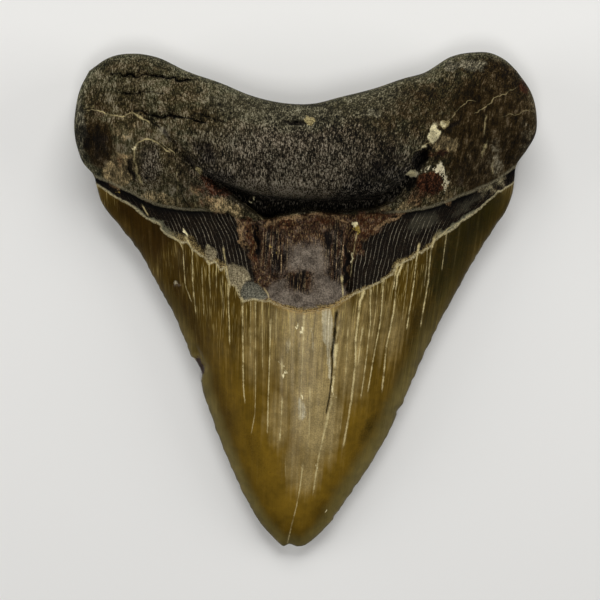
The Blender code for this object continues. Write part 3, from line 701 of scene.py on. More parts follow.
# Stains, as ovals of (x, y, half width, half height, turn, strength), with some painted light among
# them. The lace is pale crust in a broken net round the maroon disc of rust on the right lobe.
STAINS_AND_PAINTED_LIGHT = {
    # Frost: pale streaks on the blade, and a painted highlight low in its middle, at y -25 to -27.
    "frost": (
        (5.4, -6.2, 1.3, 5, 4, 1), (5.6, -14, 0.5, 7, 4, 0.7), (-0.9, -27, 1.2, 2.6, 0, 0.6),
        (-1.6, -24.8, 0.5, 1.2, 10, 0.7), (-4.2, -11, 0.5, 3, 0, 0.5), (1.8, -10, 0.4, 4, 2, 0.5),
        (6.9, -12, 0.4, 5, 4, 0.7), (-31.9, 4.4, 0.5, 0.6, 0, 0.8), (-27.6, -14.4, 0.9, 0.2, 10, 0.9),
        (-25.9, -19.4, 0.7, 0.25, 20, 0.9),
    ),
    "chip": ((-26.2, -16.6, 1, 2, 20, 1), (-26.6, -14.8, 0.8, 0.9, 0, 0.8)),
    # Slate: a painted grey-green sheen on the smooth right part of the band.
    "slate": ((28.6, 19.4, 4, 2, 28, 0.8), (41, 24.2, 6.5, 1.3, 35, 0.6)),
    # Soot: black stains, and painted shade on the bulge's right flank.
    "soot": (
        (-25, 13.4, 0.6, 0.6, 0, 0.9), (30.2, 28, 2.6, 2.2, 10, 0.42), (-11.9, 14.4, 0.5, 4.6, 3, 1),
        (10.1, 9, 0.6, 6, -6, 1), (8.6, 17, 0.6, 1.6, 0, 0.6), (-50.6, 38.6, 2.4, 3.4, 10, 0.55),
        (-42.3, 31.6, 0.7, 3.2, 8, 0.8), (-32.9, 39.4, 0.8, 3, 38, 0.55), (-28, 33.6, 0.9, 3.4, 40, 0.7),
        (-24.2, 35.5, 2.2, 4.6, 25, 0.6), (27.3, 33.6, 1.5, 2.7, -20, 1.6), (30, 37, 0.7, 0.6, 0, 1.2),
        (25.4, 28.6, 2, 2.8, -30, 1), (38.1, 31.6, 1.4, 4.5, -10, 0.4), (-2.6, 43.2, 2.3, 0.7, -8, 0.9),
        (36.6, 42.2, 3, 0.7, 8, 0.7), (-19.5, 29.8, 3.5, 1.2, -28, 0.6), (-52, 29, 2, 0.6, -30, 0.6),
        (33, 34.8, 2.4, 0.6, 15, 0.5), (-8.4, 30, 0.9, 6, 10, 0.4), (20, 33, 6, 4, 30, 0.5),
        (-1.4, 4.8, 2.8, 2.4, 0, 0.36), (-0.2, 6, 0.8, 2.4, 2, 0.6), (-12.2, 31, 0.8, 5, -6, 0.4),
        (5.8, 14.6, 0.7, 2.8, 0, 0.7),
    ),
    "rust": (
        (30.2, 28.3, 3, 2.5, 10, 1.1), (-45.3, 34.2, 1.8, 2, 0, 0.4), (-22.6, 28.2, 3.6, 1.4, -32, 0.8),
        (-5.5, 18.6, 4.5, 1.6, 10, 0.7), (5, 19.2, 4, 1.4, -8, 0.7), (15.6, 18.4, 3.4, 3, 20, 1),
        (18.8, 20.4, 2.4, 1.2, 15, 1), (53.6, 52.8, 1.5, 2, 0, 0.6), (-13.6, 14.6, 1, 5.6, 10, 1),
        (-8.6, 13.5, 1.6, 5, 0, 0.35), (9.3, 12.5, 0.8, 5.5, 0, 0.4), (31.5, 35, 3, 1, 10, 0.6),
        (-19.4, 26.4, 1.8, 1, -35, 0.7), (13.2, 13.6, 0.9, 3, 20, 0.7), (-24, 25.6, 5.5, 3, -28, 0.42),
        (27.5, 24.6, 3.6, 2.4, 20, 0.5),
    ),
    "sand": (
        (-20.8, 23.8, 4.6, 1.8, -20, 0.9), (-16.8, 21.8, 2, 1.4, -30, 0.9),
        (-15.8, 17.4, 0.5, 4.6, 14, 1), (25.2, 23.6, 2.6, 1.5, 15, 1), (33.5, 38.3, 3.2, 2.6, -12, 1),
        (-45.6, 31.8, 3.4, 4, -30, 1.1), (34.6, 26, 1.3, 3.4, 0, 1), (-35.6, 25, 5, 1.6, -10, 0.5),
        (-43.8, 41.8, 3, 3, 0, 0.35), (-26.4, 25.6, 0.8, 2.6, 10, 0.5), (25.6, 23.6, 1.8, 1.2, 15, 0.9),
        (5.6, -5.8, 1.2, 3.4, 4, 0.9), (19.4, 22.2, 1.8, 0.7, 10, 0.9), (30, 24, 2.4, 1, 10, 0.5),
        (-8.4, 19.2, 2.6, 0.7, 15, 1), (-2.8, 20.6, 3, 0.7, 13, 1), (3.2, 20.8, 3, 0.6, -6, 0.9),
        (8, 19.9, 2.4, 0.5, -14, 0.8), (19.8, 18.9, 4.4, 0.6, 31, 1), (23.6, 22.3, 1.6, 0.9, 15, 0.9),
    ),
    # Bloom: pale patches, and painted rim light along the lobes' top and outer edges.
    "bloom": (
        (39.5, 57.2, 4.6, 1.5, 0, 1), (-33.9, 26.6, 4, 2.8, -10, 0.35), (-34.5, 40.6, 1.8, 1.6, 0, 0.5),
        (46.5, 34, 2, 6.4, 12, 0.36), (54, 40, 1.6, 6, 0, 0.32), (-55, 42, 1.4, 9, 0, 0.6),
        (16, 45.6, 3, 1, -14, 0.5),
    ),
    "scale": (
        (31.1, 40.5, 1.2, 2, -14, 1.2), (33.6, 42.6, 0.9, 0.7, 30, 0.6), (26, 30.8, 1, 0.9, 0, 0.72),
        (28.6, 37, 0.9, 0.4, 35, 0.9), (-42.2, 36.8, 0.8, 0.3, 0, 0.8), (12, 18.4, 0.35, 0.8, 0, 1),
        (-12.8, 25.4, 0.8, 0.2, 0, 0.9), (32.7, 28, 0.2, 0.2, 0, 0.9), (-29, 16, 0.3, 0.9, 25, 1),
        (-5.9, -15.9, 0.25, 0.8, 30, 0.8), (-4.9, -17.8, 0.3, 0.6, 20, 0.7),
        (-0.5, -7.4, 0.25, 0.7, 0, 0.9), (-1.6, -6, 0.3, 0.3, 0, 0.8), (-1.1, -23.6, 0.25, 0.6, 0, 0.9),
        (7, -22.5, 0.25, 1.4, 8, 0.8), (-6.1, -32.4, 0.2, 0.9, 2, 0.9), (2.8, -40.2, 0.2, 0.6, 0, 0.8),
        (3.8, -50.8, 0.15, 0.15, 0, 0.8), (5.1, -52.3, 0.15, 0.15, 0, 0.8),
        (11.2, 10.4, 0.2, 2.2, -14, 0.7),
    ),
    "lace": (
        (26.4, 30.7, 1.2, 0.8, 0, 1), (29.2, 31.4, 1.2, 0.6, 25, 1), (31.4, 32.2, 1.6, 0.8, 25, 1),
        (33.2, 31.4, 0.8, 1.6, 0, 1), (33.9, 28.4, 0.6, 2.8, -8, 1),
    ),
    "ochre": (
        (0.8, 43.5, 1.1, 1, 0, 1.2), (34.2, 42.8, 1.5, 0.9, 25, 1), (-25.4, 31.3, 0.5, 1, 40, 0.9),
        (-7.4, 12.4, 0.4, 1.6, 14, 0.8), (12.1, 17, 0.4, 1.1, 0, 0.9), (-46.5, 26.8, 0.9, 0.4, 0, 0.7),
        (-53.5, 46.9, 1.6, 0.5, -14, 0.6),
    ),
    "moss": (
        (-1, 45, 12, 4.6, 0, 0.8), (-15, 46.5, 10, 4, -12, 0.6), (17, 48, 10, 4.5, 12, 0.6),
        (-45, 52, 9, 6, 0, 0.35), (-23.3, 11.3, 1.5, 1.7, 0, 1), (-31.9, 4.4, 0.5, 0.6, 0, 0.7),
        (-22, 40, 5, 3, 0, 0.4), (44, 32.5, 5, 7.5, 14, 0.62),
    ),
    "honey": (
        (46, 40, 14, 16, 0, 0.9), (28, 47, 12, 6, 20, 0.5), (48, 53, 9, 5, -30, 0.8),
        (-50, 46, 4, 2, 0, 0.5), (-50.6, 38.6, 3.6, 5.4, 10, 1.1), (-48.2, 31.6, 2.2, 2, 0, 0.5),
    ),
}
# Wear and painted sheen on the blade: the tan middle where the enamel's gloss is gone, which is
# partly a painted sheen, with a painted highlight in the strong oval at y -27; and its dark outer
# parts.
BLADE_WEAR_AND_SHEEN = (
    (0.5, -12, 9, 17, 2, 0.75), (2.4, -28, 6.4, 12, 3, 0.98), (1, -6, 12, 7, 0, 0.7),
    (9.5, -12, 5.5, 14, 6, 0.6), (17, -6, 8, 9, 14, 0.42), (-0.5, -40, 5, 8, 0, 0.65),
    (-11, -10, 6, 12, 0, 0.35), (0.6, -27, 1.2, 3, 0, 1.2), (-6, -29, 4, 8, 0, 0.55),
)
BLADE_SHADE = (
    (43, 19, 12, 7.5, 36, 1.1), (-41, 17, 10, 7.5, -38, 1.1), (37, 8, 8, 13, -22, 1),
    (31, -6, 5, 10, -22, 0.7), (-31, -2, 3.5, 12, 22, 0.7), (-33, 8, 5, 7, 0, 0.6),
    (-12.9, -36, 1.8, 6.4, 24, 0.4), (15.6, -31.5, 1.2, 4.6, -22, 0.55), (12.6, -39, 2.4, 1.6, -40, 0.4),
    (5.8, -52, 3, 3, -30, 0.4), (24.5, -20, 2.4, 8, -24, 0.6), (-21, -26, 2.4, 9, 20, 0.5),
    (-27.5, -8, 1.4, 3, 20, 0.5),
)
# Flanks of the bourlette's plate, the bulge's rough skin, and where the root is brushed.
PLATE_FLANKS = (
    (-7.8, 11.6, 3.4, 6.2, 4, 1.2), (7.6, 10.8, 2.8, 7.2, -2, 1.2), (-1.2, 4.8, 3.2, 2.6, 0, 1.1),
)
BULGE_SKIN = ((-1, 33, 26, 10.5, 0, 1), (-37.6, 33.4, 2.8, 5, 6, 1))
BRUSHED = ((45, 38, 12, 13, 0, 1), (-46, 36, 7, 7, 0, 0.9), (-31, 26, 6, 4, -10, 0.8))
# Parts of the root that are lighter or darker than the rest, in doublings: partly its own tone,
# partly painted light and shade, such as the lit lower slope of the bulge and shade beside it.
ROOT_LIGHTER = (
    (-34.9, 39.4, 3, 2.8, 0, 1.8), (-41, 39.4, 3, 3, 0, 0.6), (-46.6, 45.4, 3.4, 3.4, 0, 0.95),
    (-46.5, 34.5, 3.2, 3.2, 0, 0.9), (-34.9, 33, 3.4, 3, 0, 0.7), (-22.7, 39.6, 3, 2.6, 0, 0.6),
    (-36.5, 27.5, 4, 2.4, -10, 0.5), (38.4, 27.4, 3, 3, 0, 1), (44.5, 33, 3.4, 4, 0, 0.5),
    (-7.5, 27.3, 11, 2.5, 0, 1.6), (34, 27, 1.8, 3.4, 0, 0.8), (-36, 52, 7, 2.6, -14, 0.3),
    (-21.5, 23.6, 5.5, 2.2, -22, 1),
)
ROOT_DARKER = (
    (-54.5, 40, 2.6, 3.6, 0, 1.2), (-20, 45.8, 4.5, 2.2, -14, 0.5), (12, 40, 9, 4.5, 0, 0.9),
    (20.5, 37.5, 5.5, 4, 0, 0.6), (8, 45.5, 12, 2.5, 8, 0.45), (24, 49, 6, 3.5, 20, 0.5),
    (14, 33.5, 7, 3, 0, 0.35), (25.5, 40.5, 3.5, 3, 0, 0.8), (33.5, 33.6, 2, 1.6, 0, 0.6),
    (-54, 45.5, 2.2, 2.8, 0, 0.6), (1, 34.5, 9, 3, 0, 0.3), (14, 28, 4.5, 3, 0, 1),
    (23.5, 33, 2.6, 3.4, 0, 0.8), (24.5, 27.5, 2.2, 2.4, 0, 0.7), (34, 52, 6.5, 3, 20, 0.45),
    (-42, 56.2, 6.5, 2.6, -6, 0.4),
)
# Orange crumbs stick to the enamel's broken edge below the plate.
ORANGE_RIM = ((1, 0, 9, 5, 0, 0.8),)
# Across the tooth, as (x, value): how much the growth streaks lean, how wide the torn strip past
# the enamel is, and how far the painted shade of the recess reaches up the bulge.
STREAK_SLOPES = ((-60, -0.06), (-28, -0.04), (-12, 0.03), (0, 0.05), (6, 0.08), (13, 0.11), (60, 0.16))
TORN_WIDTH = (
    (-60, 0.35), (-45, 0.4), (-38.5, 0.6), (-35, 1.1), (-29, 1.7), (-20, 0.9), (-10, 0.7), (0, 1),
    (10, 0.9), (20, 0.7), (22, 1.2), (26, 0.7), (33, 1), (37, 0.9), (41, 0.45), (60, 0.35),
)
RECESS_SHADE_REACH = (
    (-31, 3), (-24, 4.5), (-18, 3.4), (-12, 1), (-5, 0.8), (5, 1.2), (8, 4.5), (11, 12), (16, 16.5),
    (20, 13), (24, 6), (31, 4),
)

# The growth streaks of the blade lean a little towards its tip, more on the right.
streak = both_x.copy()
for _ in range(4):
    streak = both_x - curve_through(STREAK_SLOPES, streak) * both_y

both_rim = np.concatenate([rim, rim[under]])
# The plate's middle and foot are polished grey, with no clear border.
grey_wide = 4.4 + 5.5 * smooth_step((6.5 - both_y) / 4)
plate_grey = smooth_step((grey_wide - np.abs(both_x - 0.4)) / 3.6 + 0.5)
plate_grey = plate_grey * smooth_step((15.6 - both_y) / 4)
dark_core = np.exp(-(((both_x + 1.2) / 3.3) ** 4)) * np.exp(-(((both_y - 4.8) / 2.7) ** 4))
# Painted shade: black in the recess, thinning out up the bulge's lower slope.
above_rim = both_y - curve_through(RECESS_RIM, both_x)
above_margin = both_y - curve_through(BULGE_MARGIN, both_x)
cavity_span = smooth_step((29.5 - np.abs(both_x)) / 6)
recess_shade_reach = np.maximum(curve_through(RECESS_SHADE_REACH, both_x), 0.8)
enamel_all = np.concatenate([enamel_gap, labial_gap[under]])
wider_rim = smooth_step(both_x / 8 + 0.5) * smooth_step((both_y + 58) / 14)
tan_inside = np.maximum(*(inside_outline(*near, flake) for flake in (TAN_FLAKE, SMALL_FLAKE)))
grey_inside = inside_outline(*near, GREY_FLAKE)
marks = {
    "past_enamel": enamel_all,
    "past_root": np.concatenate([root_gap, labial_gap[under] - 0.2]),
    "rim": both_rim,
    "thin_rim": both_rim / (1 + 0.45 * wider_rim),
    "labial": is_labial,
    "streak": streak,
    "stria": stria_place(*both),
    "torn_width": curve_through(TORN_WIDTH, both_x),
}
# The marks of the lingual face, which are 0 on the face it lies on.
lingual_marks = {
    "plate": plate_share(*both),
    "cavity": smooth_step(above_rim) * smooth_step(1 - above_margin / recess_shade_reach) * cavity_span,
    "slope": smooth_step(1 - np.abs(above_margin - 1) / 6.5) * cavity_span,
    "lip": smooth_step((np.abs(both_x + 2) - 20) / 4),
    "plate_grey": plate_grey * (1 - dark_core) - 0.3 * dark_core,
    "tan_flake": smooth_step(tan_inside / 0.4 + 0.5),
    "grey_flake": smooth_step(grey_inside / 0.4 + 0.5),
    "pale_ledge": smooth_step((np.abs(both_x) - 30) / 5),
    "groove_end": smooth_step((np.abs(both_x + 0.5) - 31.5) / 4.5),
    "right_side": smooth_step((both_x - 6) / 10),
    "fibre_lean": -0.3 * smooth_step((both_x - 2) / 22) * (both_y - 33),
}
RAGGEDNESS = {"blade_wear": 0.4, "blade_shade": 0.7, "flank": 0.6, "frost": 0.3, "chip": 0.3}
ovals_of = {
    "blade_wear": BLADE_WEAR_AND_SHEEN, "blade_shade": BLADE_SHADE, "bulge": BULGE_SKIN, "brushed": BRUSHED,
    "flank": PLATE_FLANKS, "orange_rim": ORANGE_RIM, "lighter": ROOT_LIGHTER, "darker": ROOT_DARKER,
    **STAINS_AND_PAINTED_LIGHT,
}
for name, ovals in ovals_of.items():
    lingual_marks[name] = patch_share(*both, ovals, RAGGEDNESS.get(name, 1))
lingual_marks["flank"] = np.clip(lingual_marks["flank"], 0, 1)
lingual_marks["orange_rim"] *= bell(enamel_all, 0.45)
lingual_marks["root_tone"] = lingual_marks.pop("lighter") - lingual_marks.pop("darker")
PALE_SETS = 4  # enough for neighbouring cracks to lie in different sets
pale_sets = lay_out_cracks(PALE_CRACKS, PALE_SETS)
crack_sets = {f"pale_{number}": cracks for number, cracks in enumerate(pale_sets)}
crack_sets["open"] = [(min(depth, 1), wide, line) for wide, depth, line in OPEN_CRACKS]
for name, cracks in crack_sets.items():
    marks[f"{name}_place"], lingual_marks[f"{name}_shown"] = crack_marks(cracks)
for name, values in lingual_marks.items():
    marks[name] = values * (1 - is_labial)
for part, values in zip(("place", "shown"), crack_marks(LABIAL_CRACKS)):
    marks[f"pale_0_{part}"] = np.where(is_labial > 0.5, values, marks[f"pale_0_{part}"])
for name, values in marks.items():
    stored = tooth_mesh.attributes.new(name, "FLOAT", "POINT")
    stored.data.foreach_set("value", np.asarray(values, np.float32))


def from_hex(code):
    """An sRGB hex colour as linear red, green, blue and alpha."""
    parts = [int(code[k : k + 2], 16) / 255 for k in (0, 2, 4)]
    linear = [p / 12.92 if p <= 0.04045 else ((p + 0.055) / 1.055) ** 2.4 for p in parts]
    return (*linear, 1)


# The kinds of node that the finish uses most, each with its settings. TIMES_PLUS is a * b + c.
NOISE = "TexNoise"
RANGE = "MapRange"
EASE = "MapRange interpolation_type=SMOOTHSTEP"
MIX = "Mix"
BLEND = "Mix data_type=RGBA"
TIMES = "Math operation=MULTIPLY"
TIMES_PLUS = "Math operation=MULTIPLY_ADD"
PLUS = "Math operation=ADD"
LARGER = "Math operation=MAXIMUM"
SIZE = "Math operation=ABSOLUTE"
SCALE = "VectorMath operation=SCALE"
STRETCH = "VectorMath operation=MULTIPLY"


def node(kind, *inputs, out=0):
    """Adds one node of a kind, with its links, numbers and hex colours in the order of its open
    sockets. Returns one of its outputs."""
    name, *settings = kind.split()
    added = tree.nodes.new("ShaderNode" + name)
    for setting in settings:
        setattr(added, *setting.split("="))
    for socket, value in zip([socket for socket in added.inputs if socket.enabled], inputs):
        if isinstance(value, bpy.types.NodeSocket):
            tree.links.new(value, socket)
        else:
            socket.default_value = from_hex(value) if isinstance(value, str) else value
    return [socket for socket in added.outputs if socket.enabled][out]


def layered(base, *layers, kind=BLEND):
    """Lays (share, cover) layers over a base, one after another."""
    for share, cover in layers:
        base = node(kind, share, base, cover)
    return base


# Fossil tooth: permineralised dentine and enamel, worn on the seabed and cleaned by hand. The
# root is matt, dark and fibrous, with pale flecks where its pores are filled. The bourlette is
# black and grooved. The enamel is amber and satin, tan where its gloss is worn off, and goes
# thin and grey-green at the cutting edges.
fossil_finish = bpy.data.materials.new("fossil_dentine_and_enamel_sea_worn")
fossil_finish.use_nodes = True
tree = fossil_finish.node_tree
shader = tree.nodes["Principled BSDF"]

# The tooth's own coordinates in millimetres, and the marks that were laid on its points above.
in_mm = node(SCALE, node("TexCoord", out=3), 1 / MM)
height_mm = node("SeparateXYZ", in_mm, out=1)
mark = {name: node(f"Attribute attribute_name={name}", out=2) for name in marks}

# Noise scales are per millimetre. Root fibres are about 0.4 mm across and three times as long, up
# the tooth, and lean out on the right lobe. The flecks in the pores between them are 0.3 mm.
leaned = node("VectorMath operation=ADD", in_mm, node("CombineXYZ", mark["fibre_lean"]))
drawn_out = node(STRETCH, leaned, (1.05, 0.3, 0.5))
fibre = node(NOISE, drawn_out, 2.7, 3, 0.72)
fleck = node(NOISE, drawn_out, 3.5, 1, 0.5)
# Grain and grit of 0.35 mm, which give torn and dusty places their salt and pepper look.
grain = node(NOISE, in_mm, 2.8, 3, 0.65)
grit = node(NOISE, in_mm, 3, 2, 0.6)
gritty = node(RANGE, grit, 0.38, 0.64)
# Brushed strokes of the lobes: 0.4 mm across and 3 mm long, leaning a little.
leaning = node("VectorRotate rotation_type=Z_AXIS", in_mm, (0, 0, 0), 0.12)
stroke = node(NOISE, node(STRETCH, leaning, (1, 0.14, 0.3)), 2.4, 3, 0.68)
# Mottling, in clumps of 1 mm and clouds of 2 mm and 7 mm.
clump = node(NOISE, drawn_out, 0.9, 1, 0.5)
cloud = node(NOISE, in_mm, 0.5, 4, 0.6)
broad = node(NOISE, in_mm, 0.14, 2, 0.5)
# Growth streaks of the enamel: 0.3 mm and 1 mm across, and about twenty times as long.
growth = node("CombineXYZ", mark["streak"], node(TIMES, height_mm, 0.045))
fine_streak = node(NOISE, growth, 3, 2, 0.6)
wide_streak = node(NOISE, growth, 0.9, 2, 0.5)

# Where each tissue lies.
on_enamel = node(RANGE, mark["past_enamel"], -0.12, 0.12, 1, 0)
on_root = node(RANGE, mark["past_root"], -0.1, 0.25)

# Each soft oval, of a stain or of painted light, becomes a ragged patch: the cloud and the grain
# push its margin about.
worry = node(TIMES_PLUS, grain, 0.7, node(TIMES_PLUS, cloud, 0.9, -0.8))
patch = {}
for name in STAINS_AND_PAINTED_LIGHT:
    torn_oval = node(EASE, node(PLUS, mark[name], worry), 0.22, 0.72)
    patch[name] = node(TIMES, torn_oval, node(RANGE, mark[name], 0, 0.15))
# Scale crumbles, lace is a broken net, and frost and its painted highlight lie in the growth streaks.
for name, noise, start, full, least in (
    ("scale", grit, 0.36, 0.48, 0.45), ("lace", node(MIX, 0.5, grit, clump), 0.44, 0.5, 0),
    ("frost", fine_streak, 0.42, 0.54, 0.45),
):
    patch[name] = node(TIMES, patch[name], node(RANGE, noise, start, full, least, 1))

# The pale filling of the hairline cracks: a thin line that wavers and is broken here and there.
# The open cracks are black, and bridged here and there.
waver = node(TIMES_PLUS, grain, 2.4, -1.2)
crack_line = {}
for name in crack_sets:
    near, far = (0.5, 1.5) if name == "open" else (0.25, 1.3)
    gap = node(SIZE, node(PLUS, mark[f"{name}_place"], waver))
    crack_line[name] = node(TIMES, node(RANGE, gap, near, far, 1, 0), mark[f"{name}_shown"])
open_line = node(TIMES, crack_line.pop("open"), node(RANGE, grain, 0.36, 0.5, 0.65, 1))
pale = 0
for line in crack_line.values():
    pale = node(LARGER, pale, line)
pale = node(TIMES, pale, node(RANGE, cloud, 0.36, 0.58, 0.15, 1))

# Root colour: a stained ground of browns, far darker between its fibres than on them, with pale
# grey flecks in the pores. The bulge is the roughest and greyest part. Its brightness is in
# doublings: each noise adds its own part of one, and the fine ones add more on the bulge.
fibre_here = node(MIX, mark["brushed"], fibre, stroke)
unbrushed = node(TIMES_PLUS, mark["brushed"], -0.5, 1)
rougher = node(TIMES_PLUS, mark["bulge"], 0.6, 1)
smoother = node(TIMES_PLUS, node(LARGER, patch["honey"], patch["sand"]), -0.2, 1)
speckle = node(TIMES_PLUS, fleck, 7.8, node(TIMES_PLUS, grit, 7.2, -7.5))
doublings = node(TIMES_PLUS, speckle, unbrushed, node(TIMES_PLUS, fibre_here, 7.8, -3.9))
# The lighter and darker ovals add theirs: partly the root's own tone, partly painted light and shade.
doublings = node(TIMES_PLUS, node(TIMES, doublings, rougher), smoother, mark["root_tone"])
for noise, part, middle in ((broad, 4, -2), (clump, 3.4, -1.7), (cloud, 6, -3.35)):
    doublings = node(PLUS, doublings, node(TIMES_PLUS, noise, part, middle))
doublings = node("Math operation=MINIMUM", doublings, 2.1)
dusty = node(RANGE, doublings, 0, 2.1, 0, 0.5)
unglazed = node(TIMES_PLUS, patch["honey"], -0.4, 1)
ground = layered(
    "433A20",
    (node(RANGE, broad, 0.4, 0.62, 0, 0.7), "3D3B26"),
    (node(RANGE, cloud, 0.42, 0.64, 0, 0.6), "4A3A24"),
    (node(TIMES, mark["bulge"], 0.6), "4C443A"),
    # Painted rim light: the root is paler and greyer within 3 mm of its outline.
    (node(RANGE, mark["rim"], 0.4, 3, 0.6, 0), "53533D"),
    (node(TIMES, patch["moss"], 0.8), "4B4734"),
    (node(TIMES, patch["honey"], 0.9), "2C1F08"),
    (node(TIMES, patch["bloom"], 0.7), "66614F"),
    (node(TIMES, dusty, unglazed), "41403A"),
    (node(TIMES, patch["sand"], 0.85), "746547"),
    (node(TIMES, patch["rust"], 0.9), "3F2111"),
    (node(TIMES, patch["soot"], 0.9), "0B0705"),
)
tone = node("Math operation=POWER", 2, doublings)
# Painted shade: the root goes black over the recess and the foot of the bulge.
recess_shade_share = node(TIMES_PLUS, worry, 1.6, mark["cavity"])
tone = node(TIMES, tone, node(RANGE, recess_shade_share, 0.25, 0.9, 1, 0.04))
# Soot darkens the root further: stains, and painted shade beside the bulge.
tone = node(TIMES, tone, node(RANGE, mark["soot"], 0.9, 1.4, 1, 0.2))
root_colour = node(SCALE, ground, tone)
# Grey-white crusts sit on the bulge's lower slope, in and over the painted shade.
crust = node(TIMES, node(RANGE, fleck, 0.52, 0.6), node(RANGE, cloud, 0.42, 0.56, 0, 0.75))
# Painted highlight: a pale grey line along the root's lower lip, out at the sides.
lip = node(TIMES, node(EASE, mark["past_root"], 0.2, 1, 1, 0), mark["lip"])
root_colour = layered(
    root_colour,
    (patch["ochre"], node(BLEND, gritty, "5C5030", "BDAE7C")),
    (node(TIMES, crust, mark["slope"]), "8D8474"),
    (node(TIMES, lip, node(RANGE, grit, 0.38, 0.58, 0.2, 1)), "A1987A"),
)

# Bourlette colour: near black, with a thin pale line along the crest of each groove's wall. Each
# crest has its own brightness, which changes slowly along it.
crest = node("Math operation=FRACT", node(TIMES_PLUS, cloud, 0.4, mark["stria"]))
crest = node(RANGE, node(SIZE, node(PLUS, crest, -0.5)), 0.405, 0.488)
each_crest = node("CombineXYZ", mark["stria"], node(TIMES, height_mm, 0.16))
dotted = node(RANGE, grain, 0.38, 0.56, 0.12, 1)
lit = node(TIMES, node(RANGE, node(NOISE, each_crest, 1.3, 1), 0.38, 0.62, 0.1, 1.1), dotted)
crest_line = node(TIMES, node(TIMES, crest, lit), node(TIMES_PLUS, mark["groove_end"], -0.78, 1))
# Painted shadow: near black in the band just under the root's lip, out at the sides.
painted_shadow_under_lip = node(TIMES, node(RANGE, mark["past_root"], -1.8, -0.4, 0, 0.95), mark["lip"])
grooved_band = layered(
    "090502",
    (node(RANGE, cloud, 0.42, 0.62, 0, 0.6), "1A1108"),
    # Painted sheen: grey-green on the band's smooth right part.
    (patch["slate"], "302D23"),
    (crest_line, "B3A990"),
    (node(RANGE, grit, 0.56, 0.7, 0, 0.25), "6E5F4A"),
    (painted_shadow_under_lip, "040302"),
)
# The plate in its middle is brown to grey, with dark bars and pale threads down both flanks.
plate = "301E11"
covered = node(LARGER, mark["plate"], patch["soot"])
for name, cover, strength in (
    ("rust", "3A1F0C", 0.9), ("bloom", "645A4E", 0.85), ("sand", "7C6345", 0.9),
    ("moss", "928A6A", 0.95), ("ochre", "8F7A35", 0.9),
):
    share = node(TIMES, patch[name], strength)
    plate = node(BLEND, share, plate, cover)
    covered = node(LARGER, covered, share)
off_flank = node(TIMES_PLUS, mark["flank"], -0.8, 1)
bars = node(RANGE, node(NOISE, growth, 1.1, 2, 0.65), 0.44, 0.52)
thread = node(TIMES, node(RANGE, fine_streak, 0.55, 0.63, 0, 0.75), dotted)
polished = node(RANGE, node(TIMES_PLUS, worry, 1.5, mark["plate_grey"]), 0, 1.1, 0, 0.95)
plate = layered(
    plate,
    (node(TIMES, node(RANGE, fleck, 0.52, 0.68, 0, 0.7), off_flank), "75603F"),
    (node(TIMES, bars, mark["flank"]), "0E0703"),
    (node(TIMES, thread, mark["flank"]), "A48D68"),
    (polished, "6C6256"),
    (patch["soot"], "090503"),
)
# The torn shelf around the plate is the grittiest; the polished grey is only finely pitted.
shelf_tone = node(RANGE, node(MIX, 0.6, grit, fibre), 0.39, 0.61, 0, 2.05)
plate_tone = node(MIX, polished, shelf_tone, node(RANGE, grain, 0.34, 0.6, 0.42, 1.32))
plate = node(SCALE, plate, node(TIMES, plate_tone, node(RANGE, cloud, 0.35, 0.62, 0.6, 1.25)))
# Past the enamel's broken edge, a strip 0.4 to 1.7 mm wide of torn, crumbly enamel-dentine.
torn = node("Math operation=DIVIDE", mark["past_enamel"], mark["torn_width"])
torn = node(RANGE, node(TIMES_PLUS, worry, 2.4, torn), 0.7, 1.15, 0.95, 0)
ledge = node(BLEND, grain, "4A4733", "85826A")
band = layered(
    grooved_band,
    (covered, plate),
    (torn, node(BLEND, mark["pale_ledge"], node(BLEND, gritty, "2A1C0D", "9A8759"), ledge)),
    (mark["tan_flake"], node(BLEND, gritty, "5F543D", "ACA080")),
    (mark["grey_flake"], node(BLEND, gritty, "3B3A30", "858170")),
)

# Enamel colour: amber, paler and greyer where it is worn and where a sheen is painted on its middle,
# with streaks and hairlines. The dark outer parts are amber brown on the left and olive on the right.
# worn holds both the wear and the painted sheen of the blade's middle.
worn = node(TIMES_PLUS, worry, 0.25, node(TIMES_PLUS, wide_streak, 0.9, mark["blade_wear"]))
worn = node(EASE, worn, 0.5, 1.5)
paler = node(TIMES, node(EASE, height_mm, 8, -48, 0, 0.82), node(EASE, mark["rim"], -1, 8.5))
dark_side = node(RANGE, node(TIMES_PLUS, worry, 1.4, mark["blade_shade"]), 0.15, 1.05, 0, 0.95)
dark_side = node(TIMES, dark_side, node(EASE, mark["rim"], 0.3, 3.4, 0.6, 1))
lighter_side = node(RANGE, mark["blade_shade"], 0, 1, 1, 0)
hairline = node(TIMES, node(RANGE, fine_streak, 0.6, 0.72, 0, 0.5), node(EASE, height_mm, -30, -6))
thin_edge = node(EASE, node(TIMES_PLUS, cloud, 1.2, mark["thin_rim"]), 1.5, 4.2, 0.95, 0)
thin_edge = node(TIMES, thin_edge, node(EASE, height_mm, 14, -30, 0.05, 1))
# Short fine splits run down from the broken edge and fade within 16 mm, fewer on the labial face.
short_split = node(RANGE, node(NOISE, growth, 4.4, 1, 0.5), 0.59, 0.65)
for share in (
    lighter_side, node(RANGE, mark["past_enamel"], -16, -0.5, 0, 0.85),
    node(TIMES_PLUS, mark["labial"], -0.65, 1),
):
    short_split = node(TIMES, short_split, share)
enamel = layered(
    "483607",
    (paler, "7A5E18"),
    (dark_side, node(BLEND, mark["right_side"], "2A1A00", "201B02")),
    (worn, "958255"),
    (node(TIMES, hairline, lighter_side), "8A7440"),
    (thin_edge, "65592F"),
    (node(RANGE, mark["rim"], 0.15, 0.45, 0.4, 0), "55523F"),
    (short_split, "A8945A"),
    (patch["frost"], "AEA486"),
    (patch["chip"], "2E2019"),
)
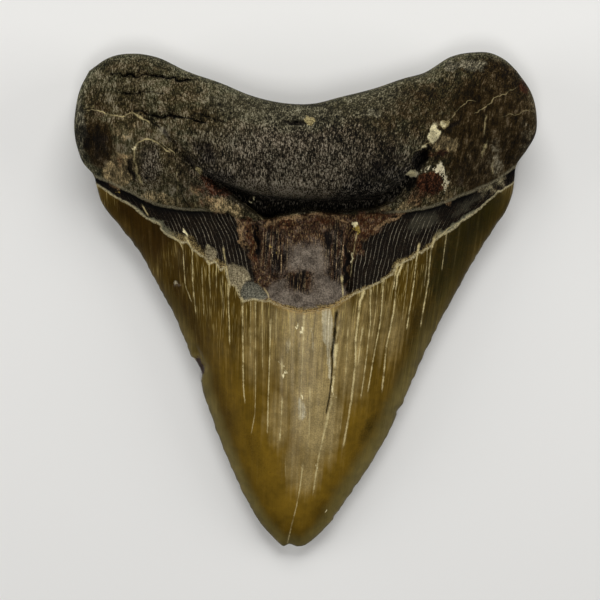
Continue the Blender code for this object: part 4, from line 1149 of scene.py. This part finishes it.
# It is streaked most by the root, clouded all over, and finely pitted under the gloss of the tan.
up_high = node(EASE, height_mm, -42, -6, 0.15, 1)
streaky = 1
for tone in (
    node(TIMES_PLUS, node(RANGE, fine_streak, 0.3, 0.7, -0.22, 0.22), up_high, 1),
    node(TIMES_PLUS, node(RANGE, wide_streak, 0.3, 0.7, -0.16, 0.16), up_high, 1),
    node(RANGE, broad, 0.35, 0.65, 0.84, 1.12), node(RANGE, cloud, 0.34, 0.64, 0.84, 1.14),
    node(MIX, worn, 1, node(RANGE, grit, 0.34, 0.66, 0.74, 1.24)),
):
    streaky = node(TIMES, streaky, tone)

# Together: band, root and enamel, the pale line of the enamel's broken edge, then cracks and scale.
chipped = node(RANGE, node(SIZE, mark["past_enamel"]), 0.05, 0.36, 1, 0)
orange_crumbs = node(RANGE, grit, 0.38, 0.6, 0.35, 1)
colour = layered(
    band,
    (on_root, root_colour),
    (on_enamel, node(SCALE, enamel, streaky)),
    (node(TIMES, chipped, dotted), "BDB088"),
    (node(TIMES, orange_crumbs, mark["orange_rim"]), "A27C3C"),
    (pale, "CDBC88"),
    (open_line, "040302"),
    (patch["lace"], "E2D6B2"),
    (patch["scale"], "F4E7B6"),
)

# Relief too fine for the mesh, in millimetres, and the roughness of each tissue: matt root, satin
# enamel that is duller where it is worn.
relief = layered(
    node(TIMES, crest, 0.14),
    (covered, node(TIMES_PLUS, grit, 0.25, node(TIMES, fibre, 0.2))),
    (torn, node(TIMES, grit, 0.45)),
    (on_root, node(TIMES_PLUS, grit, 0.35, node(TIMES, fibre, 0.8))),
    (on_enamel, node(TIMES_PLUS, pale, -0.04, node(TIMES, fine_streak, 0.05))),
    kind=MIX,
)
roughness = layered(
    0.55,
    (on_root, node(RANGE, fibre, 0.3, 0.7, 0.82, 0.62)),
    (on_enamel, node(MIX, worn, node(RANGE, fine_streak, 0.3, 0.7, 0.32, 0.44), 0.52)),
    (pale, 0.65),
    kind=MIX,
)
# Enamel keeps a thin gloss of its own, lost where it is worn.
gloss = node(TIMES, node(RANGE, worn, 0, 1, 0.15, 0.1), on_enamel)
for socket, source in (
    ("Coat Weight", gloss), ("Base Color", colour), ("Roughness", roughness),
    ("Normal", node("Bump", 1, MM, 0.1, relief)),
):
    tree.links.new(source, shader.inputs[socket])
# Apatite refracts at about 1.63; buried dentine and enamel sit a little under it.
for socket, value in (
    ("IOR", 1.55), ("Metallic", 0), ("Specular IOR Level", 0.05), ("Coat IOR", 1.5),
    ("Coat Roughness", 0.22),
):
    shader.inputs[socket].default_value = value

tooth_mesh.materials.append(fossil_finish)
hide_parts("tooth")
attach(fossil, "root")

# ---------------------------------------------------------------------------------------------
# The floor: a plain sheet of painted board that the tooth lies on, loose. It is wide enough to
# fill every view, and pale and matt, so that nothing but the tooth's soft shadow shows on it.
# ---------------------------------------------------------------------------------------------

FLOOR_SIZE = 4  # metres
board = bpy.data.meshes.new("floor")
half = 0.5 * FLOOR_SIZE
board.from_pydata(
    [(-half, -half, 0), (half, -half, 0), (half, half, 0), (-half, half, 0)], [], [(0, 1, 2, 3)]
)
floor = bpy.data.objects.new("floor", board)
bpy.context.scene.collection.objects.link(floor)
# Painted board: pale, and quite matt.
board_paint = bpy.data.materials.new("pale_matt_board_paint")
board_paint.use_nodes = True
board_shader = board_paint.node_tree.nodes["Principled BSDF"]
board_shader.inputs["Base Color"].default_value = from_hex("E4E3E0")
board_shader.inputs["Roughness"].default_value = 0.9
board.materials.append(board_paint)

# ---------------------------------------------------------------------------------------------
# Studio light: a large softbox past the root, a long one low at each side, and a weak wash from
# near the camera.
# ---------------------------------------------------------------------------------------------

SOFTBOXES = (
    # name, place, width and height in metres, watts
    ("softbox_root_end", (0.05, 0.62, 0.52), 0.7, 0.4, 5.2),
    ("softbox_left", (-0.75, 0.1, 0.3), 0.6, 0.3, 2.4),
    ("softbox_right", (0.75, 0.1, 0.3), 0.6, 0.3, 2.4),
    ("softbox_wash", (-0.02, -0.26, 0.95), 0.3, 0.3, 2.4),
)
for name, place, width, height, watts in SOFTBOXES:
    lamp = bpy.data.lights.new(name, "AREA")
    lamp.shape = "RECTANGLE"
    lamp.size = width
    lamp.size_y = height
    lamp.energy = watts
    holder = bpy.data.objects.new(name, lamp)
    holder.location = place
    holder.rotation_euler = (-Vector(place)).to_track_quat("-Z", "Y").to_euler()
    bpy.context.scene.collection.objects.link(holder)

world = bpy.data.worlds.new("studio")
world.use_nodes = True
world.node_tree.nodes["Background"].inputs["Color"].default_value = from_hex("D9DADC")
world.node_tree.nodes["Background"].inputs["Strength"].default_value = 0.1
bpy.context.scene.world = world
bpy.context.scene.view_settings.view_transform = "Standard"

# ---------------------------------------------------------------------------------------------
# Camera: a long lens on a stand, straight above the tooth, with the tip towards the bottom of the
# frame. The frame's width is set at the level of the outline, a little above the board.
# ---------------------------------------------------------------------------------------------

FRAME_WIDTH = 0.14796  # metres
CAMERA_HEIGHT = 1
CAMERA_ASIDE = -0.00136  # the tooth lies this far off the middle of the frame
OUTLINE_LEVEL = 0.006
SENSOR_WIDTH = 36  # millimetres
lens = bpy.data.cameras.new("camera")
lens.sensor_width = SENSOR_WIDTH
lens.lens = SENSOR_WIDTH * (CAMERA_HEIGHT - OUTLINE_LEVEL) / FRAME_WIDTH
lens.clip_end = 20
camera = bpy.data.objects.new("camera", lens)
camera.location = (CAMERA_ASIDE, 0, CAMERA_HEIGHT)
bpy.context.scene.collection.objects.link(camera)
bpy.context.scene.camera = camera

bpy.context.view_layer.update()
